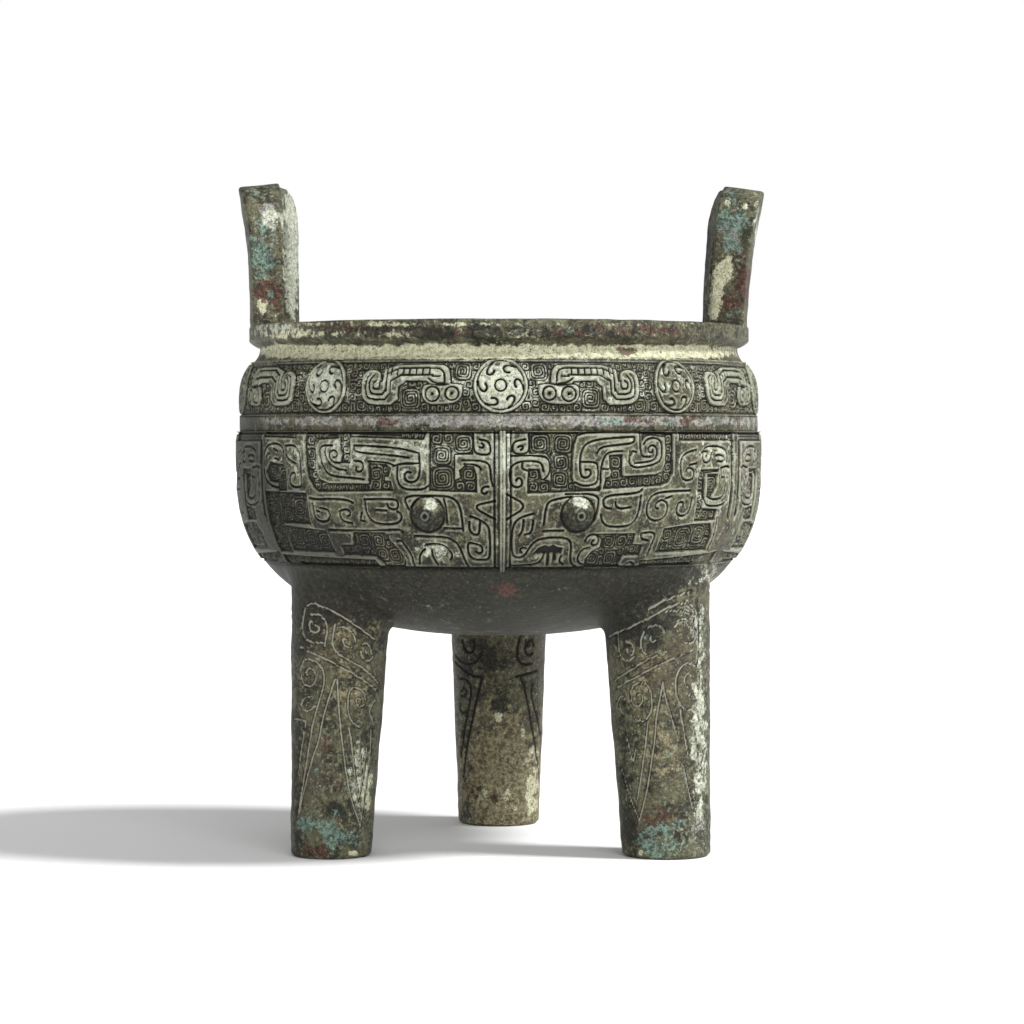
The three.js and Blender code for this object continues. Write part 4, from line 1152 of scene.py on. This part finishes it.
def leg(name):
    angle, sole = LEGS[name]
    turn = leg_turns(name)
    top = leg_tops(angle, sole, turn) - FILLET
    shares = np.linspace(0, 1, LEG_ROWS)
    turns, shares = np.meshgrid(turn, shares)
    z = shares * top[None, :]
    arc = ((turns + math.pi) % (2 * math.pi) - math.pi) * LEG_ARC[name]
    carved = carved_share(name, arc, z)
    across, deep = sole * np.sin(turns), sole * np.cos(turns)
    rough = (value_noise(across, z, 2.3, 21) + value_noise(deep, z, 2.3, 23)) * 0.06
    rough += (value_noise(across, z, 7.0, 22) + value_noise(deep, z, 7.0, 24)) * 0.12
    edge = -SOLE_EDGE * (1 - step_up(z, 0.0, 1.5)) ** 1.5
    fade = step_up(z, 0, 3) * (1 - step_up(z - top[None, :], -6, 0))
    lift = rough * fade + edge - LEG_CUT * carved
    lift[:, -1] = lift[:, 0]
    outer = np.concatenate([leg_surface(angle, sole, turns, z, lift), fillet(angle, sole, turn, top)])
    carved = np.concatenate([carved, np.zeros((FILLET_ROWS, LEG_SIDES + 1))])
    rows, columns = outer.shape[0], outer.shape[1] - 1
    middle = np.array(0.0)
    sole_middle = leg_surface(angle, sole, middle, middle, -sole)
    head_middle = leg_surface(angle, sole, middle, np.array(LEG_HEAD), -sole)
    points = np.concatenate([outer[:, :-1].reshape(-1, 3), [sole_middle, head_middle]])
    index = closed_grid(rows, columns)
    quads = quads_of(index)
    faces = quads.tolist()
    sole_point, head_point = rows * columns, rows * columns + 1
    faces += [(int(b), int(a), sole_point) for a, b in zip(index[0, :-1], index[0, 1:])]
    faces += [(int(a), int(b), head_point) for a, b in zip(index[-1, :-1], index[-1, 1:])]
    uvs = np.concatenate([uv_grid(rows, columns, 0.03, 0.99), [[0.5, 0.005], [0.5, 0.999]]])
    carved = np.concatenate([carved[:, :-1].ravel(), [0, 0]])
    # Dust lies in the lines of the front legs, and soil in those of the back leg. All the lines are also
    # painted dark as the shade along their sides, which shows round the dust on the front legs
    dust = 0.0 if name == "back" else 1.0
    values = {"hollow": np.clip(carved * 1.6, 0, 0.9), "dust": carved ** 3 * dust}
    values.update(patches_at(points))
    return add_mesh(f"leg_{name}", points, faces, len(quads), uvs, values)


# Handles: angle, width, thickness, height, lean, bend of the lean, thickening at the top
HANDLES = {
    "left": (-93.0, 60.0, 12.0, 53.7, 2.3, 2.4, 3.6),
    "right": (90.5, 54.0, 12.8, 52.3, 4.8, 1.6, 2.8),
}
POST_WIDTH = 11.0
BAR_HEIGHT = 12.0
CORNER = 15.0
OPENING_CORNER = 12.0
ROOT = 4.0
EDGE = 1.15
ARCH_COUNTS = (40, 24, 14)


def half_arch(half_width, top, corner, post_count, corner_count, bar_count):
    """Points of a handle's edge from its root up and over to the middle."""
    points = []
    for share in np.linspace(0, 1, post_count, endpoint=False):
        points.append((half_width, -ROOT + (top - corner + ROOT) * share))
    for share in np.linspace(0, 1, corner_count, endpoint=False):
        turn = share * math.pi / 2
        points.append((half_width - corner * (1 - math.cos(turn)), top - corner + corner * math.sin(turn)))
    for share in np.linspace(0, 1, bar_count):
        points.append(((half_width - corner) * (1 - share), top))
    return points


def handle_loop(half):
    """Once round a handle's section: share of the way from its outer to its inner edge, inset, and depth."""
    turns = np.array([0.25, 0.5, 0.75]) * math.pi / 2
    loop = [(0, 0, depth) for depth in np.linspace(-half + EDGE, half - EDGE, 9)]
    loop += [(0, EDGE * (1 - math.cos(t)), half - EDGE * (1 - math.sin(t))) for t in turns]
    loop += [(share, EDGE * (1 - 2 * share), half) for share in np.linspace(0, 1, 9)]
    loop += [(1, -EDGE * (1 - math.sin(t)), half - EDGE * (1 - math.cos(t))) for t in turns]
    return np.array(loop + [(1 - s, -i, -d) for s, i, d in loop])


def handle(name):
    angle, width, thickness, height, lean, bend, thickening = HANDLES[name]
    outside = half_arch(width / 2, height, CORNER, *ARCH_COUNTS)
    inside = half_arch(width / 2 - POST_WIDTH, height - BAR_HEIGHT, OPENING_CORNER, *ARCH_COUNTS)
    outside = np.array(outside + [(-x, y) for x, y in outside[-2::-1]])
    inside = np.array(inside + [(-x, y) for x, y in inside[-2::-1]])
    across = np.linalg.norm(outside - inside, axis=1)
    half = thickness / 2
    loop = handle_loop(half)
    share = loop[None, :, 0] + loop[None, :, 1] / across[:, None]
    flat = outside[:, None, :] * (1 - share[..., None]) + inside[:, None, :] * share[..., None]
    x, up = flat[..., 0], flat[..., 1]
    depth = np.broadcast_to(loop[None, :, 2], x.shape)
    run = np.broadcast_to(np.arange(len(outside))[:, None] * 1.1, x.shape)
    girth = np.broadcast_to(np.arange(len(loop))[None, :] * 1.0, x.shape)
    rough = value_noise(run, girth, 2.6, 31) * 0.10 + value_noise(run, girth, 8.0, 32) * 0.2
    rise = np.clip(up / height, 0, None)
    tilt = np.arctan(bend * lean * rise ** (bend - 1) / height)
    deep = depth * (1 + thickening / thickness * rise ** bend) + np.sign(depth) * rough
    radius = RIM_RADIUS - half + lean * rise ** bend + deep * np.cos(tilt)
    turn = x / RIM_RADIUS + math.radians(angle)
    z = RIM_TOP + up - deep * np.sin(tilt) + rough * 0.6 * (rise > 0)
    grid = np.stack([radius * np.sin(turn), -radius * np.cos(turn), z], -1)
    rows, columns = grid.shape[:2]
    index = closed_grid(rows, columns)
    quads = turned_over(quads_of(index))
    faces = quads.tolist() + [index[0, :-1].tolist(), index[-1, :-1].tolist()[::-1]]
    uvs = uv_grid(rows, columns, 0.01, 0.99)[:, ::-1]
    points = grid.reshape(-1, 3)
    return add_mesh(f"handle_{name}", points, faces, len(quads), uvs, patches_at(points))


# Materials
def linear(red, green, blue):
    """A colour of 0 to 255 as the shader takes it."""
    def one(value):
        value /= 255
        return value / 12.92 if value <= 0.04045 else ((value + 0.055) / 1.055) ** 2.4
    return (one(red), one(green), one(blue), 1)


OLIVE_DARK = linear(34, 34, 24)
OLIVE = linear(86, 85, 63)
OLIVE_LIGHT = linear(126, 126, 99)
BROWN = linear(78, 66, 52)
FLECK = linear(206, 209, 190)
PIT = linear(28, 26, 20)
WORN = linear(186, 190, 168)
DUST = linear(172, 170, 150)
SOIL_AND_SHADE = linear(22, 20, 16)
SOIL_AND_SHADE_LIGHT = linear(52, 48, 39)

# Dark and light tone of each patch colour, how far its edge is ragged, what is taken off its strength, and
# how opaque it is
PATCH_TONES = {
    "ochre": (linear(86, 80, 54), linear(158, 148, 116), 3.6, 0.1, 0.8),
    "grey": (linear(112, 110, 106), linear(172, 170, 164), 3.0, 0.1, 0.8),
    "pale_and_highlight": (linear(150, 156, 138), linear(222, 226, 206), 3.2, 0.1, 0.85),
    "cream_and_highlight": (linear(176, 176, 140), linear(228, 226, 196), 3.0, 0.1, 0.9),
    "soot_and_shade": (linear(13, 13, 9), linear(42, 42, 32), 4.4, 0.1, 0.92),
    "rust": (linear(46, 30, 25), linear(98, 62, 48), 4.4, 0.2, 0.85),
    "teal": (linear(50, 66, 58), linear(126, 154, 140), 5.0, 0.2, 0.8),
}


class Nodes:
    """Short names for the shader nodes of one material."""

    def __init__(self, material):
        material.use_nodes = True
        self.tree = material.node_tree
        self.shader = self.tree.nodes["Principled BSDF"]

    def put(self, kind, **settings):
        node = self.tree.nodes.new(kind)
        for key, value in settings.items():
            setattr(node, key, value)
        return node

    def join(self, value, socket):
        if isinstance(value, (int, float, tuple)):
            socket.default_value = value
        else:
            self.tree.links.new(value, socket)

    def math(self, operation, a, b=0.0, clamp=False):
        node = self.put("ShaderNodeMath", operation=operation, use_clamp=clamp)
        self.join(a, node.inputs[0])
        self.join(b, node.inputs[1])
        return node.outputs[0]

    def noise(self, size, detail, rough, seed):
        """Noise with spots of about a size in millimetres."""
        place = self.put("ShaderNodeTexCoord").outputs["Object"]
        node = self.put("ShaderNodeTexNoise", noise_dimensions="4D")
        self.join(place, node.inputs["Vector"])
        node.inputs["Scale"].default_value = 1 / (size * MM)
        node.inputs["Detail"].default_value = detail
        node.inputs["Roughness"].default_value = rough
        node.inputs["W"].default_value = seed
        return node.outputs["Fac"]

    def value(self, label):
        return self.put("ShaderNodeAttribute", attribute_name=label).outputs["Fac"]

    def ramp(self, value, low, high):
        node = self.put("ShaderNodeMapRange", interpolation_type="SMOOTHSTEP")
        self.join(value, node.inputs["Value"])
        node.inputs["From Min"].default_value = low
        node.inputs["From Max"].default_value = high
        return node.outputs["Result"]

    def mix(self, share, first, second):
        node = self.put("ShaderNodeMix", data_type="RGBA")
        self.join(share, node.inputs[0])
        self.join(first, node.inputs[6])
        self.join(second, node.inputs[7])
        return node.outputs[2]


def patinated_bronze():
    material = bpy.data.materials.new("patinated_bronze")
    n = Nodes(material)
    cloud, blotch = n.noise(24, 4, 0.6, 1.0), n.noise(6.5, 7, 0.7, 2.0)
    grain, speck = n.noise(1.6, 6, 0.72, 3.0), n.noise(0.75, 3, 0.65, 4.0)
    edges = [n.noise(size, 8, 0.76, seed) for size, seed in ((5.0, 5.0), (5.5, 6.0), (4.2, 7.0))]
    tone = n.ramp(grain, 0.39, 0.6)
    uneven = n.math("MULTIPLY", n.math("SUBTRACT", grain, 0.5), 1.6)

    # Bare olive metal, browner where the cloud noise is high
    colour = n.mix(n.ramp(blotch, 0.41, 0.59), OLIVE_DARK, OLIVE)
    colour = n.mix(n.math("MULTIPLY", n.ramp(grain, 0.46, 0.64), 0.8), colour, OLIVE_LIGHT)
    colour = n.mix(n.math("MULTIPLY", n.ramp(cloud, 0.48, 0.66), 0.5), colour, BROWN)
    # Each patch breaks up into specks along its edge
    for number, (label, (dark, light, spread, less, opacity)) in enumerate(PATCH_TONES.items()):
        edge = n.math("MULTIPLY", n.math("SUBTRACT", edges[number % 3], 0.5), spread)
        strength = n.math("SUBTRACT", n.math("MULTIPLY", n.value(label), 1.2), less)
        share = n.math("MULTIPLY", n.ramp(n.math("ADD", strength, edge), 0.35, 0.6), opacity)
        colour = n.mix(share, colour, n.mix(tone, dark, light))
    # Pale flecks, fewer where soot and painted shade lie, and dark pits
    flecks = n.ramp(n.math("ADD", speck, n.math("MULTIPLY", uneven, 0.25)), 0.6, 0.72)
    fewer = n.math("SUBTRACT", 0.5, n.math("MULTIPLY", n.value("soot_and_shade"), 0.4), clamp=True)
    colour = n.mix(n.math("MULTIPLY", flecks, fewer), colour, FLECK)
    colour = n.mix(n.math("MULTIPLY", n.ramp(speck, 0.44, 0.36), 0.8), colour, PIT)
    # Edges that stand out are worn light, less so where soot and painted shade lie, and grooves are painted
    # black, for the soil in them and as painted shade
    worn = n.ramp(n.math("ADD", n.value("worn"), uneven), 0.15, 0.85)
    shine = n.math("SUBTRACT", 0.52, n.math("MULTIPLY", n.value("soot_and_shade"), 0.35), clamp=True)
    colour = n.mix(n.math("MULTIPLY", worn, shine), colour, WORN)
    soil_and_shade = n.mix(n.ramp(blotch, 0.5, 0.75), SOIL_AND_SHADE, SOIL_AND_SHADE_LIGHT)
    soil_and_shade_share = n.ramp(n.math("ADD", n.value("hollow"), n.math("MULTIPLY", uneven, 0.4)), 0.22, 0.7)
    colour = n.mix(soil_and_shade_share, colour, soil_and_shade)
    dust = n.ramp(n.math("ADD", n.value("dust"), uneven), 0.2, 0.7)
    colour = n.mix(n.math("MULTIPLY", dust, 0.8), colour, DUST)
    n.join(colour, n.shader.inputs["Base Color"])
    n.shader.inputs["Metallic"].default_value = 0.0
    n.shader.inputs["Specular IOR Level"].default_value = 0.28
    gloss = n.math("MULTIPLY_ADD", grain, 0.5)
    gloss.node.inputs[2].default_value = 0.25
    n.join(gloss, n.shader.inputs["Roughness"])
    bump = n.put("ShaderNodeBump")
    bump.inputs["Strength"].default_value = 1.0
    bump.inputs["Distance"].default_value = 0.55 * MM
    height = n.math("ADD", n.math("ADD", grain, speck), n.math("MULTIPLY", edges[0], 1.4))
    n.join(height, bump.inputs["Height"])
    n.join(bump.outputs["Normal"], n.shader.inputs["Normal"])
    return material


def floor():
    mesh = bpy.data.meshes.new("floor")
    side = 30.0
    corners = [(-side, -side, 0), (side, -side, 0), (side, side, 0), (-side, side, 0)]
    mesh.from_pydata(corners, [], [(0, 1, 2, 3)])
    material = bpy.data.materials.new("pale_floor")
    n = Nodes(material)
    n.shader.inputs["Base Color"].default_value = (0.9, 0.9, 0.9, 1)
    n.shader.inputs["Roughness"].default_value = 0.9
    n.shader.inputs["Specular IOR Level"].default_value = 0.1
    mesh.materials.append(material)
    piece = bpy.data.objects.new("floor", mesh)
    bpy.context.scene.collection.objects.link(piece)


def sun(name, towards, strength, spread):
    light = bpy.data.lights.new(name, "SUN")
    light.energy = strength
    light.angle = math.radians(spread)
    lamp = bpy.data.objects.new(name, light)
    bpy.context.scene.collection.objects.link(lamp)
    lamp.rotation_mode = "QUATERNION"
    lamp.rotation_quaternion = (-Vector(towards)).to_track_quat("-Z", "Y")


def light_scene():
    """White all round for the camera, a dimmer white and two suns for the vessel."""
    world = bpy.data.worlds.new("studio")
    bpy.context.scene.world = world
    world.use_nodes = True
    tree = world.node_tree
    background = tree.nodes["Background"]
    background.inputs["Color"].default_value = (1, 1, 1, 1)
    path = tree.nodes.new("ShaderNodeLightPath")
    strength = tree.nodes.new("ShaderNodeMapRange")
    strength.inputs["To Min"].default_value = AMBIENT
    strength.inputs["To Max"].default_value = 1.0
    tree.links.new(path.outputs["Is Camera Ray"], strength.inputs["Value"])
    tree.links.new(strength.outputs["Result"], background.inputs["Strength"])
    sun("key", (1.0, -0.28, 1.25), 3.8, 12)
    sun("front", (0.2, -1.0, 0.5), 1.3, 50)
    view = bpy.context.scene.view_settings
    view.view_transform = "Standard"
    view.look = "None"


def camera():
    data = bpy.data.cameras.new("camera")
    data.sensor_width = SENSOR_WIDTH
    data.lens = SENSOR_WIDTH * FOCAL_PIXELS / PHOTO_SIDE
    data.clip_start, data.clip_end = 0.05, 60
    eye = bpy.data.objects.new("camera", data)
    bpy.context.scene.collection.objects.link(eye)
    eye.location = (0, -CAMERA_DISTANCE * MM, CAMERA_HEIGHT * MM)
    right = math.atan((PHOTO_SIDE / 2 - AXIS_COLUMN) / FOCAL_PIXELS)
    down = math.atan((PHOTO_SIDE / 2 - HORIZON_ROW) / FOCAL_PIXELS)
    eye.rotation_euler = (math.pi / 2 - down, 0, -right)
    bpy.context.scene.camera = eye


camera()
light_scene()
floor()
bronze = patinated_bronze()
pieces = [bowl(), *masks(), *friezes(), *[leg(name) for name in LEGS], *[handle(name) for name in HANDLES]]
for piece in pieces:
    piece.data.materials.append(bronze)
    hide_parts("ding_vessel")
    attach(piece, "root")
